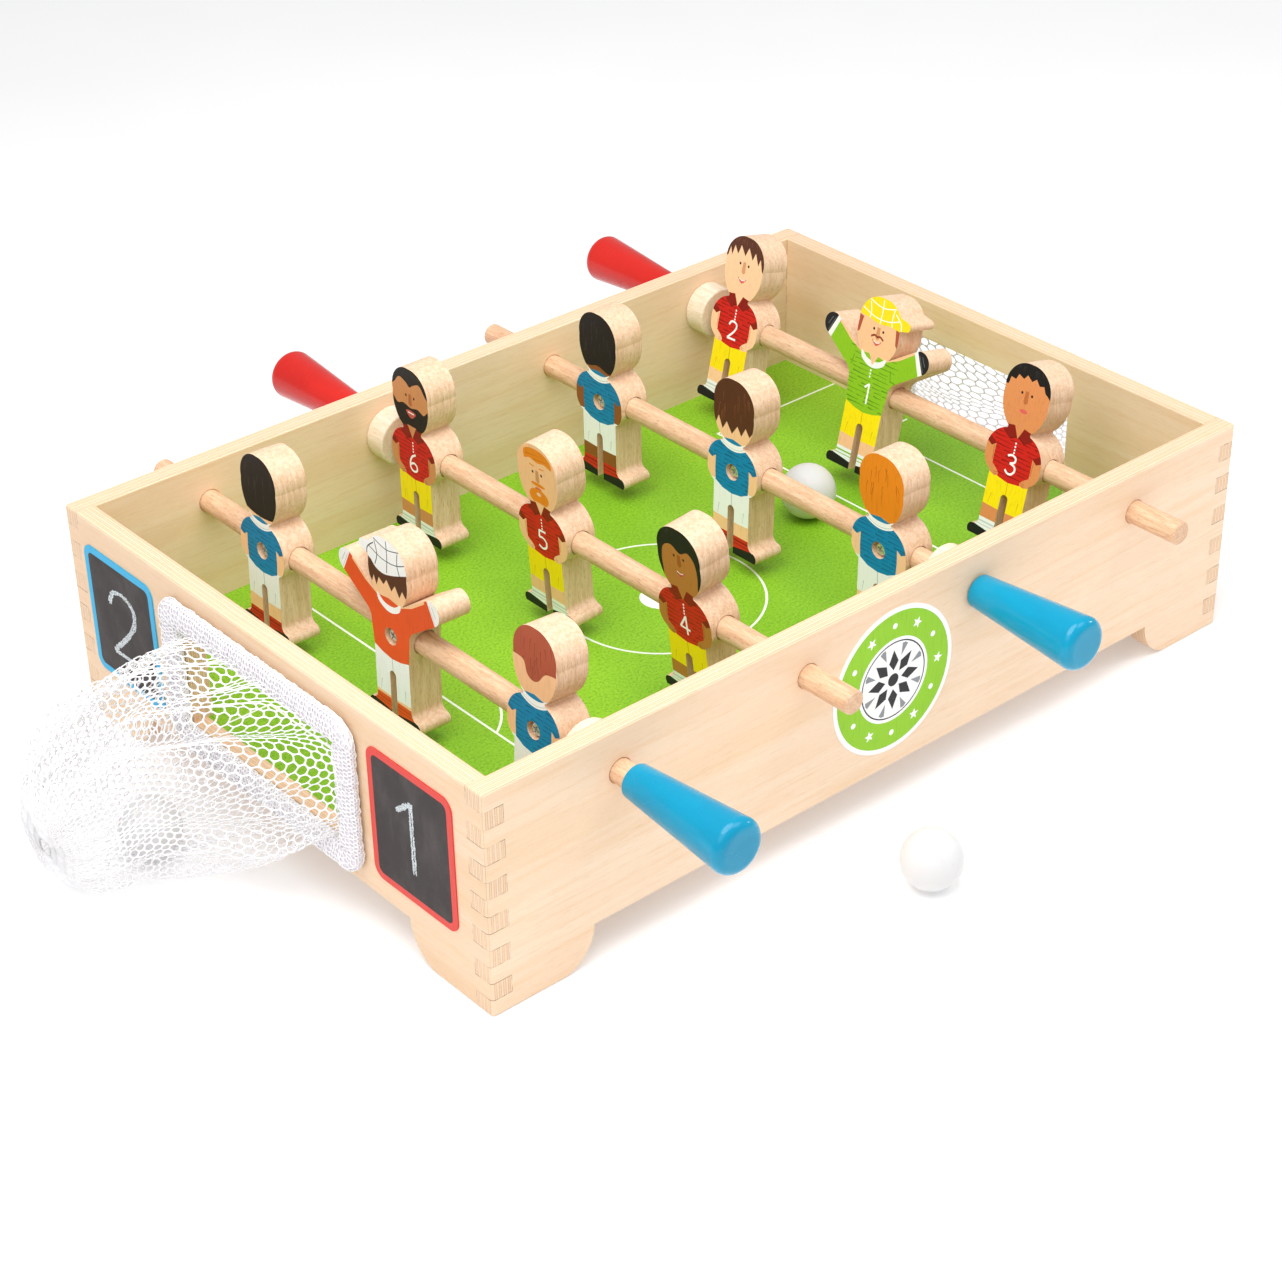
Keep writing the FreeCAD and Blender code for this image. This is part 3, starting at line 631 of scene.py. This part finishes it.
def keeper(kit, skin, shade, hair, front, jig):
    """Goalkeeper with both arms up, gloves and a cap with its brim to one side."""
    jag = [(-17, 31), (-12.4, 24.6), (-11, 28.6), (-9, 24), (-7, 29), (-3.4, 26.6), (-1, 30),
           (2.6, 25.4), (5.4, 29.4), (8.6, 24.4), (11, 28.8), (13.4, 26), (17, 31), (17, 44), (-17, 44)]
    l = [(skin, [ALL_OVER], "skin")]
    if front:
        brim, cap_line = 1, [(-17, 39.5), (-8, 38.6), (0, 37.4), (8, 38.4), (24, 36.8)]
        l += legs(kit) + face(shade, "#D9605A", (3.4, 34.0))
        l += [(hair[0], both([(12, 38), (16, 39), (16, 27), (13.2, 30)])),
              (hair[1], stroke(flow([(-4.4, 29.6), (-2, 30.8), (0, 30.2), (2, 30.8), (4.4, 29.6)],
                                    False), 1.1))]
    else:
        brim, cap_line = -1, [(-17, 39.5), (-12, 37.4), (-4, 34.2), (3, 32.4), (9, 33.4), (14, 37),
                              (24, 38.5)]
        l += legs(dict(kit, sock=kit["shirt"]), -34.0) + [(hair[0], [jag], "hair")]
    cap = flow([(u * brim, v) for u, v in cap_line], False, 4) + [(25 * brim, 56), (-17 * brim, 56)]
    seams = ([(-9, 47.4), (-7.4, 41), (-9.4, 35)], [(0, 50.6), (0.4, 43), (-0.4, 34)],
             [(8.6, 47.6), (8, 41.4), (9.6, 36)])
    rows = ROWS + (15.2, 18.0, 21.0, 24.0) if kit["loud"] else ()
    l += [(kit["cap"], [cap], "cap"),
          (kit["line"], [q for line in seams for q in stroke(flow(line, False, 4), 0.55)], None, "cap"),
          (kit["line"], stroke(flow([(-13.6, 43), (-6, 40.6), (0, 40), (7, 40.8), (13.6, 43.4)],
                                    False), 0.5)
           + stroke(flow([(-9.6, 48.6), (0, 46.4), (9.6, 48.6)], False), 0.5), None, "cap"),
          (kit["line"], stroke(flow([(10 * brim, 46), (14.6 * brim, 42), (15.4 * brim, 38)], False),
                               0.6), None, "cap"),
          (kit["shirt"], [KEEPER_SHIRT], "shirt"),
          stripes(rows, kit["stripe"], "shirt", jig),
          (kit["collar"], [flow([(-9, 20.6), (-8.2, 16.6), (-4, 14), (0, 13.2), (4, 14), (8.2, 16.6),
                                 (9, 20.6), (4.6, 17.6), (0, 16.8), (-4.6, 17.6)], steps=3)]),
          (kit["glove"], both([(28.6, 31.4), (30.2, 35), (41, 35), (41, 15), (35.2, 17.6)]), "glove"),
          (kit["wrist"], both([(27.2, 31.6), (29.2, 33.2), (36.2, 19), (33.6, 17.2)])),
          (kit["line2"], both(stroke([(33.4, 30.6), (36.0, 26.0)], 0.45)[0])
           + both(stroke([(31.4, 30.6), (35.4, 22.6)], 0.35)[0]), None, "glove")]
    if front:
        l += [(skin, [[(-4, 21.5), (0, 14.4), (4, 21.5)]]),
              (kit["mark"], [ell(0, v, 0.55, 0.6, 8) for v in (11.6, 9.8, 8.0)]),
              (kit["mark"], figure_text(1, 0.4, -7.0, 11, 1.15)),
              (kit["stripe"], both(stroke([(14.6, 10.6), (13.6, 16)], 0.5)[0]), None, "shirt")]
    return l


BLUE = dict(shirt="#0A86B9", stripe="#07608C", collar="#FFFFFF", cuff="#0A74A4", seam="#C9D6DC",
            shorts="#F7F9FC", fold="#C3CAD2", sock="#D42A20", ring="#8E1A14", mark="#FFFFFF")
RED = dict(shirt="#D0201A", stripe="#8E130E", collar="#8C1812", cuff="#8C1812", seam="#6E0F0B",
           shorts="#FFE410", fold="#E0BC0E", sock="#F3F6F8", ring="#CDD4D8", mark="#FFFFFF")
BLUE_K = dict(BLUE, shirt="#EA5523", stripe="#C9431A", collar="#FFFFFF", cap="#FAFAFA", line="#4C5058",
              glove="#FAFAFA", wrist="#EA5523", line2="#C9C9CC", loud=False, ring="#C9431A")
RED_K = dict(RED, shirt="#8EC323", stripe="#5E9318", collar="#F6F6F2", cap="#FFE01E", line="#FFFFFF",
             glove="#222225", wrist="#F6F6F2", line2="#6A6A70", loud=True, ring="#8EC323")
BLACK, BROWN, GINGER, RUST = (("#1B1819", "#332E2F"), ("#59301F", "#7A452E"),
                              ("#EE8A1D", "#C96A12"), ("#B2553D", "#8F3F2C"))


def shaded(skin):
    return hex_of(c * k for c, k in zip(channels(skin), (0.86, 0.76, 0.70)))


def team_of(n, k):
    """Both prints of one figure: what shows on its -X side and on its +X side."""
    who = {(1, 0): (BLUE, 2, RUST, "tongue", "side", 2), (1, 2): (BLUE, 0, BLACK, "round", "crop", 3),
           (3, 0): (BLUE, 4, GINGER, "bob", "side", 4), (3, 1): (BLUE, 0, BROWN, "jag", "long", 5),
           (3, 2): (BLUE, 6, BLACK, "long", "curl", 6),
           (2, 0): (RED, 1, BLACK, "round", "peak", 6), (2, 1): (RED, 2, GINGER, "tongue", "thin", 5),
           (2, 2): (RED, 3, BLACK, "long", "long", 4),
           (4, 0): (RED, 4, BROWN, "jag", "spike", 2), (4, 2): (RED, 5, BLACK, "round", "curl", 3)}
    if k == 1 and n in (1, 4):
        kit, skin, hair = (BLUE_K, SKINS[0], BROWN) if n == 1 else (RED_K, SKINS[2], RUST)
        back, front = (keeper(kit, skin, shaded(skin), hair, seen, n) for seen in (False, True))
    else:
        kit, skin, hair, cut, style, number = who[n, k]
        skin = SKINS[skin]
        back = outfield_back(kit, skin, hair, cut, 10 * n + k)
        front = outfield_front(kit, skin, shaded(skin), hair, style, number, 10 * n + k)
    return (back, front) if n in (1, 3) else (front, back)


def flat_loops(node, undo, side):
    """Outlines of a figure's flat side in its own (y, z) millimetres, longest first."""
    me = NODE[node].data
    local = [undo @ (v.co * 1000) for v in me.vertices]
    count = {}
    for p in me.polygons:
        if all(abs(local[i].x - side * FIG_HALF) < 0.02 for i in p.vertices):
            keys = [(round(local[i].y, 2), round(local[i].z, 2)) for i in p.vertices]
            for a, b in zip(keys, keys[1:] + keys[:1]):
                if a != b:
                    edge = (min(a, b), max(a, b))
                    count[edge] = count.get(edge, 0) + 1
    near = {}
    for (a, b), c in count.items():
        if c == 1:
            near.setdefault(a, []).append(b)
            near.setdefault(b, []).append(a)
    loops = []
    while near:
        start = here = next(iter(near))
        loop = [here]
        while True:
            ways = near.get(here)
            if not ways:
                break
            to = ways.pop()
            near[to].remove(here)
            if not near[here]:
                del near[here]
            if to == start:
                if not near.get(to):
                    near.pop(to, None)
                break
            loop.append(to)
            here = to
        loops.append(loop)
    return sorted((l for l in loops if len(l) > 3), key=lambda l: -abs(area(l)))


def dress_figures():
    for n, (side, gap, base, turns) in RODS.items():
        for k, c in enumerate("abc"):
            y = side * (HY + gap) - side * FROM_HANDLE[k]
            at = (Matrix.Translation((ROD_X[n - 1], y, ROD_Z))
                  @ Matrix.Rotation(math.radians(base + turns[k]), 4, "Y"))
            node = "figure_%d%s" % (n, c)
            for s, layers, word in zip((-1, 1), team_of(n, k), ("west", "east")):
                loops = flat_loops(node, at.inverted(), s)
                flip = [[(p[0] * s, p[1]) for p in l] for l in loops]
                print_on("print_%s_%s" % (node, word), layers,
                         lambda u, v: at @ Vector((s * (FIG_HALF + 0.04), s * u, v)),
                         "rod_%d" % n,
                         base=flip[0], holes=flip[1:])


# ---- printed sheet, slates and badge ----
def arc(cu, cv, r, a0, a1, n):
    """Points of an arc from a0 to a1 degrees."""
    turns = [math.radians(a0 + (a1 - a0) * i / n) for i in range(n + 1)]
    return [(cu + r * math.cos(a), cv + r * math.sin(a)) for a in turns]


def rounded(hw, hh, r, n=7):
    return [p for su, sv, a in ((1, 1, 0), (-1, 1, 90), (-1, -1, 180), (1, -1, 270))
            for p in arc(su * (hw - r), sv * (hh - r), r, a, a + 90, n)]


def pitch_lines():
    w, end, lines = 1.3, 230.5, []
    for s in (-1, 1):
        for x, y in ((139.5, 112.5), (205.6, 53.0)):   # front line and half width of each area
            lines += stroke([(s * end, -y), (s * x, -y), (s * x, y), (s * end, y)], w)
        mid = 0 if s < 0 else 180
        lines += stroke(arc(s * 166, 0, 48, mid - 56.5, mid + 56.5, 30), w)
    lines += stroke(arc(0, 0.5, 53.7, 0, 360, 72), w)
    print_on("print_pitch_lines", [("#EEF6E6", lines), ("#F2F6EC", [ell(0, 0.5, 11.5, 11.5, 40)])],
             lambda u, v: (u, v, PITCH_TOP + 0.05), "table")


def chalk_lines(n, cu, cv, high, jig):
    """A number rubbed on with several passes of a chalk stick."""
    r, out = random.Random(jig), []
    for line in DIGITS[n]:
        pts = [(cu + (u - 0.31) * high * 1.05, cv + (v - 0.5) * high) for u, v in line]
        fine = []
        for a, b in zip(pts, pts[1:]):
            steps = max(2, int(math.hypot(b[0] - a[0], b[1] - a[1]) / 1.1))
            fine += [(a[0] + (b[0] - a[0]) * i / steps, a[1] + (b[1] - a[1]) * i / steps)
                     for i in range(steps)]
        fine.append(pts[-1])
        for _ in range(8):
            du, dv = r.uniform(-1.3, 1.3), r.uniform(-0.9, 0.9)
            path = [(u + du + r.uniform(-0.35, 0.35), v + dv + r.uniform(-0.35, 0.35)) for u, v in fine]
            i = 0
            while i < len(path) - 1:
                k = i + r.randint(1, 4)
                out += stroke(path[i:k + 1], r.uniform(0.35, 0.95)) if len(path[i:k + 1]) > 1 else []
                i = k + (r.random() < 0.4)
    return out


def slates():
    black, dust = slate_black(), chalk()
    for node, border, n, lean in (("score_slate_red", "#DF4A42", 1, -1.5),
                                  ("score_slate_blue", "#3DB2E0", 2, 1.0)):
        lo, hi = (v * 1000 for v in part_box(node))
        cy, cz = (lo.y + hi.y) / 2, (lo.z + hi.z) / 2
        hw, hh = (hi.y - lo.y) / 2, (hi.z - lo.z) / 2
        NODE[node].data.materials.clear()
        NODE[node].data.materials.append(ink(border))
        print_on("print_" + node, [(border, [rounded(hw - 0.1, hh - 0.1, 6.4)]),
                                   (black, [rounded(hw - 3.7, hh - 3.7, 3.4)], "board"),
                                   (dust, chalk_lines(n, lean, 0, 37, n), None, "board")],
                 lambda u, v: (lo.x - 0.04, cy - u, cz + v), "table")


def badge():
    lo, hi = (v * 1000 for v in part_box("front_badge"))
    cx, cz, r = (lo.x + hi.x) / 2, (lo.z + hi.z) / 2, (hi.x - lo.x) / 2

    def spin(poly, k, n):
        a = 2 * math.pi * k / n
        return [(u * math.cos(a) - v * math.sin(a), u * math.sin(a) + v * math.cos(a)) for u, v in poly]

    petal = [(5.2, 0), (9.6, 3.1), (16.4, 0), (9.6, -3.1)]
    spike = [(12.6, 0), (19.0, 1.9), (19.6, 0), (19.0, -1.9)]
    star = [(29.6 + 3.1 * math.cos(math.radians(36 * i)) * (1 if i % 2 == 0 else 0.42),
             3.1 * math.sin(math.radians(36 * i)) * (1 if i % 2 == 0 else 0.42)) for i in range(10)]
    print_on("print_front_badge", [
        ("#FDFDFB", [ell(0, 0, r - 0.05, n=72)]), ("#93CB2B", [ell(0, 0, 36.6, n=72)]),
        ("#FFFFFF", [spin(star, k, 12) for k in range(0, 12, 2)]
         + [spin(ell(29.6, 0, 1.5, n=14), k, 12) for k in range(1, 12, 2)]),
        ("#FFFFFF", [ell(0, 0, 22.6, n=60)]), ("#2B2A2C", [ell(0, 0, 20.9, n=60)]),
        ("#F7F6F3", [ell(0, 0, 20.2, n=60)]),
        ("#2B2A2C", [spin(petal, k, 8) for k in range(8)]),
        ("#8E9094", [spin(spike, k + 0.5, 8) for k in range(8)]),
        ("#2B2A2C", [ell(0, 0, 3.4, n=24)])],
        lambda u, v: (cx + u, lo.y - 0.04, cz + v), "table")


# ---- goal nets ----
def lattice(name, surf, cols, rows, strand, thick, mats, sides=12):
    """Knitted hexagonal mesh as real threads. surf(a, b) takes arrays from 0 to 1, once
    round and once along, and gives points in millimetres."""
    e = 1e-3

    def place(keys):
        k = np.array(keys, float)
        a, b = k[:, 0] / (4.0 * cols), (k[:, 1] / 6.0 + 2 / 3) / (rows + 1 / 3)
        p = surf(a, b)
        n = np.cross(surf(a + e, b) - surf(a - e, b),
                     surf(a, np.minimum(b + e, 1)) - surf(a, np.maximum(b - e, 0)))
        n /= np.maximum(np.linalg.norm(n, axis=1), 1e-9)[:, None]
        return p, n

    ring12 = [(0, 4), (1, 3), (2, 2), (2, 0), (2, -2), (1, -3), (0, -4), (-1, -3), (-2, -2), (-2, 0),
              (-2, 2), (-1, 3)]
    centres = [((4 * i + 2 * (j % 2)) % (4 * cols), 6 * j) for j in range(rows) for i in range(cols)]
    keys, find = [], {}
    loops = []
    for cx, cy in centres:
        loop = []
        for du, dv in ring12:
            key = ((cx + du) % (4 * cols), cy + dv)
            if key not in find:
                find[key] = len(keys)
                keys.append(key)
            loop.append(find[key])
        loops.append(loop)
    p, n = place(keys)
    h = thick / 2
    verts = [*(p + n * h), *(p - n * h)]
    shift, faces, rim = len(keys), [], {}
    for loop in loops:
        q = p[loop]
        mid = q.mean(axis=0)
        d = q - mid
        size = np.linalg.norm(d, axis=1)
        w = np.array([1.85, 1.15, 1.85, 1.0, 1.85, 1.15] * 2) * strand / 2
        keep = np.clip(1 - w / np.maximum(size, 1e-6), 0.12, 1)
        hole = mid + d * keep[:, None]
        pick = range(12) if sides == 12 else (0, 2, 4, 6, 8, 10)
        base = len(verts)
        verts.extend(hole[i] for i in pick)
        ids = [loop[i] for i in pick]
        m = len(ids)
        for i in range(m):
            j = (i + 1) % m
            faces.append((ids[i], ids[j], base + j, base + i))
            faces.append((ids[j] + shift, ids[i] + shift, base + i, base + j))
            rim[ids[i], ids[j]] = True
    faces += [(j, i, i + shift, j + shift) for i, j in rim if (j, i) not in rim]
    return mesh(name, verts, faces, mats, smooth=True)


def ring_table():
    """Superellipse sections of the bag, each sampled evenly along its own length."""
    out = []
    for _, yc, hw, lo, hi in NET_RINGS:
        t = np.linspace(0, 2 * np.pi, 1441) - np.pi / 2
        c, s = np.cos(t), np.sin(t)
        k = (np.abs(c) ** 3 + np.abs(s) ** 3) ** (-1 / 3)
        y, z = yc - hw * k * c, (lo + hi) / 2 + (hi - lo) / 2 * k * s
        run = np.concatenate([[0], np.cumsum(np.hypot(np.diff(y), np.diff(z)))])
        a = np.linspace(0, 1, 481)
        out.append((np.interp(a, run / run[-1], y), np.interp(a, run / run[-1], z)))
    return np.linspace(0, 1, 481), out


RING_A, RING_YZ = ring_table()


def bag(a, b):
    """Surface of the left net: hangs from the hem, folds, and lies on the floor."""
    a, b = np.asarray(a, float), np.clip(np.asarray(b, float), 0, 1)
    hang = np.clip(b / 0.15, 0, 1) * np.clip((1 - b) / 0.2, 0, 1)
    a1 = a % 1.0
    for at, lean, wide, pull in BUNCHES:
        u = a1 - (at + lean * b)
        a1 = a1 - pull * u * np.exp(-(u / wide) ** 2) * hang
    b = b + 0.012 * np.sin(2 * np.pi * (2 * a1 + 1.5 * b)) * hang
    tip_x, tip_y, tip_z = NET_TIP
    d = np.array([r[0] for r in NET_RINGS] + [tip_x])
    ys = np.array([np.interp(a1, RING_A, y) for y, z in RING_YZ])
    zs = np.array([np.interp(a1, RING_A, z) for y, z in RING_YZ])
    ys = np.vstack([ys, tip_y + (ys[-1] - tip_y) * 0.16])
    zs = np.vstack([zs, tip_z + (zs[-1] - tip_z) * 0.16])
    run = np.array(NET_RUN) / NET_RUN[-1]
    out = []
    for table in (ys, zs, np.repeat(d[:, None], len(a1), 1)):
        k = np.clip(np.searchsorted(run, b, side="right") - 1, 0, len(run) - 2)
        t = (b - run[k]) / (run[k + 1] - run[k])
        i = np.arange(len(b))
        p0, p1 = table[np.maximum(k - 1, 0), i], table[k, i]
        p2, p3 = table[k + 1, i], table[np.minimum(k + 2, len(run) - 1), i]
        out.append(spline(p0, p1, p2, p3, t))
    y, z, x = out
    yc = np.interp(b, run, [r[1] for r in NET_RINGS] + [tip_y])
    zc = np.interp(b, run, NET_MID_Z)
    ry, rz = y - yc, z - zc
    r = np.maximum(np.hypot(ry, rz), 1e-6)
    free = np.clip(b / 0.12, 0, 1) * np.clip((1 - b) / 0.25, 0, 1)
    wave = (1.6 * np.sin(2 * np.pi * (9 * a1 + 0.35 * np.sin(5 * b)) + 0.6)
            + 1.3 * np.sin(2 * np.pi * (17 * a1 - 0.8 * b) + 2.1)
            + 1.0 * np.sin(2 * np.pi * (5 * a1 + 1.7 * b))
            + 0.7 * np.sin(2 * np.pi * (31 * a1 + 2.2 * b) + 0.4))
    push = wave * free
    for at, lean, wide, deep in FOLDS:
        push = push - deep * np.exp(-((a1 - (at + lean * b)) / wide) ** 2) * free
    y, z = y + push * ry / r, z + push * rz / r
    x = x + 1.2 * np.sin(2 * np.pi * 7 * a1 + 6 * b) * free
    # The ball in the net keeps its own room along the way that it can roll.
    bx, by, bz = x - NET_BALL[0], y - np.clip(y, *NET_BALL_WAY), z - NET_BALL[2]
    away = np.maximum(np.sqrt(bx * bx + by * by + bz * bz), 1e-6)
    room = np.maximum(NET_BALL_ROOM / away, 1.0)
    x, y, z = x + bx * (room - 1), y + by * (room - 1), z + bz * (room - 1)
    return np.stack([-(HX + x), y, np.maximum(z, 0.9)], axis=1)


def hem_path(a):
    """Rounded frame round the goal opening: point and outward direction in (y, z)."""
    line = rounded(*HEM_HALF, HEM_CORNER, 10)
    line = np.array(line + line[:1])
    run = np.concatenate([[0], np.cumsum(np.hypot(*np.diff(line, axis=0).T))])
    t = np.concatenate([np.linspace(math.radians(q), math.radians(q + 90), 11)
                        for q in (0, 90, 180, 270)])
    t = np.append(t, 2 * math.pi)
    a = (np.asarray(a, float) % 1.0) * run[-1]
    w = np.interp(a, run, t)
    return np.interp(a, run, line[:, 0]), np.interp(a, run, line[:, 1]) + HEM_Z, np.cos(w), np.sin(w)


def hem(a, b, grow=0.0):
    """Gathered edge of the net, rolled against the board. b goes round its section."""
    y, z, oy, oz = hem_path(a)
    q = 2 * np.pi * np.asarray(b, float)
    s = 2 * np.pi * (np.asarray(a, float) % 1.0)
    puff = (1 + 0.08 * np.sin(41 * s + 1.3 * np.sin(7 * s)) + 0.1 * np.sin(67 * s + 2 * q)
            + 0.08 * np.sin(23 * s + q) + 0.07 * np.sin(109 * s - 2 * q))
    wide = (7.1 + grow) * (0.97 + 0.04 * np.sin(29 * s + 3 * q) + 0.03 * np.sin(83 * s + 2 * q))
    deep = (2.4 + grow) * puff
    c, d = np.cos(q), np.sin(q)
    k = (np.abs(c) ** 2.6 + np.abs(d) ** 2.6) ** (-1 / 2.6)
    off, out = wide * k * c, deep * k * d
    return np.stack([-(HX + 3.15 + np.maximum(out, -3.05)), y + oy * off, z + oz * off], axis=1)


def grid(name, surf, m, n, mats):
    """Smooth closed ring of m by n quads."""
    a, b = np.meshgrid(np.arange(m) / m, np.arange(n) / n, indexing="ij")
    v = surf(a.ravel(), b.ravel())
    f = [((i * n + j), (i * n + (j + 1) % n), ((i + 1) % m * n + (j + 1) % n), ((i + 1) % m * n + j))
         for i in range(m) for j in range(n)]
    return mesh(name, list(v), f, mats, smooth=True)


def goal_nets():
    white = thread("knitted_polyester_net")
    under = thread("gathered_net_hem", "#DAD0D9", "#F2EDF2", 0.6)
    net = lattice("net_bag_left", bag, *NET_CELLS, *NET_THREAD, [white])
    core = grid("net_hem_core_left", hem, 420, 16, [under])
    skin = lattice("net_hem_mesh_left", lambda a, b: hem(a, b, 0.4), *HEM_CELLS, *HEM_THREAD, [white],
                   sides=6)
    twins = []      # the far net is the near one, turned round
    for o in (net, core, skin):
        t = bpy.data.objects.new(o.name.replace("left", "right"), o.data)
        bpy.context.scene.collection.objects.link(t)
        t.matrix_world = Matrix.Rotation(math.pi, 4, "Z")
        twins.append(t)
    for word, (bag_ob, core_ob, skin_ob) in (("left", (net, core, skin)), ("right", twins)):
        for o in (bag_ob, core_ob, skin_ob):
            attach(o, "table")
        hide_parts("goal_net_" + word)
        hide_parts("net_band_" + word)


# ---- finishes of the CAD nodes ----
def finish_nodes():
    long_ply, end_ply, floor_ply = (
        plywood("birch_plywood_" + w, a, g)
        for w, a, g in (("long_boards", 1, 0), ("end_board", 0, 1), ("playfield", 2, 0)))
    # Painted shade: the left end board gets a darker copy of the end board's plywood, to offset the
    # fill light that falls on it.
    shaded_end_ply = plywood("birch_plywood_deeper_end_board", 0, 1, "#EFD2B4", "#E9C7A2")
    rod, turned = beech("beech_dowel", 1), beech("beech_ring", 1, "#F4E4D0", "#E8D2B6", "#CDAE8A")
    sawn = beech("beech_figure", 2, "#F0D1B4", "#DFB894", "#B3855C")
    blue, red = (lacquer("blue_lacquer", "#0094B9", "#008BB0", "#12A5C7"),
                 lacquer("red_lacquer", "#CC251D", "#C11F18", "#D9433A"))
    metal, white, sheet = steel(), ball_plastic(), pitch_green()
    for name, ob in NODE.items():
        kind = name.split("_")[0]
        m = {"front": long_ply, "back": long_ply, "left": shaded_end_ply, "right": end_ply,
             "playfield": floor_ply, "pitch": sheet, "rod": rod, "ring": turned, "ball": white,
             "net": metal}.get(kind)
        if name == "front_badge":
            m = ink("#FDFDFB")
        if kind == "figure":
            m = metal if "screws" in name else sawn
        if kind == "handle":
            m = blue if name[-1] in "13" else red
        if m:
            ob.data.materials.clear()
            ob.data.materials.append(m)


# ---- floor, light and camera ----
def studio():
    s = bpy.context.scene
    s.view_settings.view_transform = "Standard"
    f = Finish("acrylic_light_table", 0.9, Emission_Color=(1, 1, 1, 1), Emission_Strength=0.27)
    f.colour(f.mix(f.band(f.noise(0.004, 0.004, 0.004), 0.3, 0.7), "#E3E3E4", "#E6E6E7"))
    f.bump(f.noise(0.5, 0.5, 0.5), 0.02, 0.2)
    n = FLOOR_HALF
    floor = mesh("floor", [(u, v, 0) for u, v in rect(-n, n, -n, n)], [(0, 1, 2, 3)], [f.mat])
    world = bpy.data.worlds.new("studio")
    s.world = world
    world.use_nodes = True
    sky = world.node_tree.nodes["Background"]
    sky.inputs[0].default_value, sky.inputs[1].default_value = SKY, SKY_LEVEL
    for name, at, size, power in LIGHTS:
        light = bpy.data.lights.new(name, "AREA")
        light.shape, light.size, light.energy = "DISK", size, power
        ob = bpy.data.objects.new(name, light)
        s.collection.objects.link(ob)
        ob.location = at
        ob.rotation_euler = (Vector(LIGHT_AIM) - Vector(at)).to_track_quat("-Z", "Y").to_euler()
    cam = bpy.data.cameras.new("camera")
    cam.lens, cam.sensor_width, cam.clip_end = CAMERA_LENS, CAMERA_SENSOR, 30.0
    ob = bpy.data.objects.new("camera", cam)
    s.collection.objects.link(ob)
    at, aim = Vector(CAMERA_AT), Vector(CAMERA_AIM)
    back = (at - aim).normalized()
    right = Vector((0, 0, 1)).cross(back).normalized()
    up = back.cross(right)
    c, k = math.cos(CAMERA_ROLL), math.sin(CAMERA_ROLL)
    r2, u2 = right * c + up * k, up * c - right * k
    ob.matrix_world = Matrix(((r2.x, u2.x, back.x, at.x), (r2.y, u2.y, back.y, at.y),
                              (r2.z, u2.z, back.z, at.z), (0, 0, 0, 1)))
    s.camera = ob


finish_nodes()
dress_figures()
pitch_lines()
slates()
badge()
goal_nets()
studio()
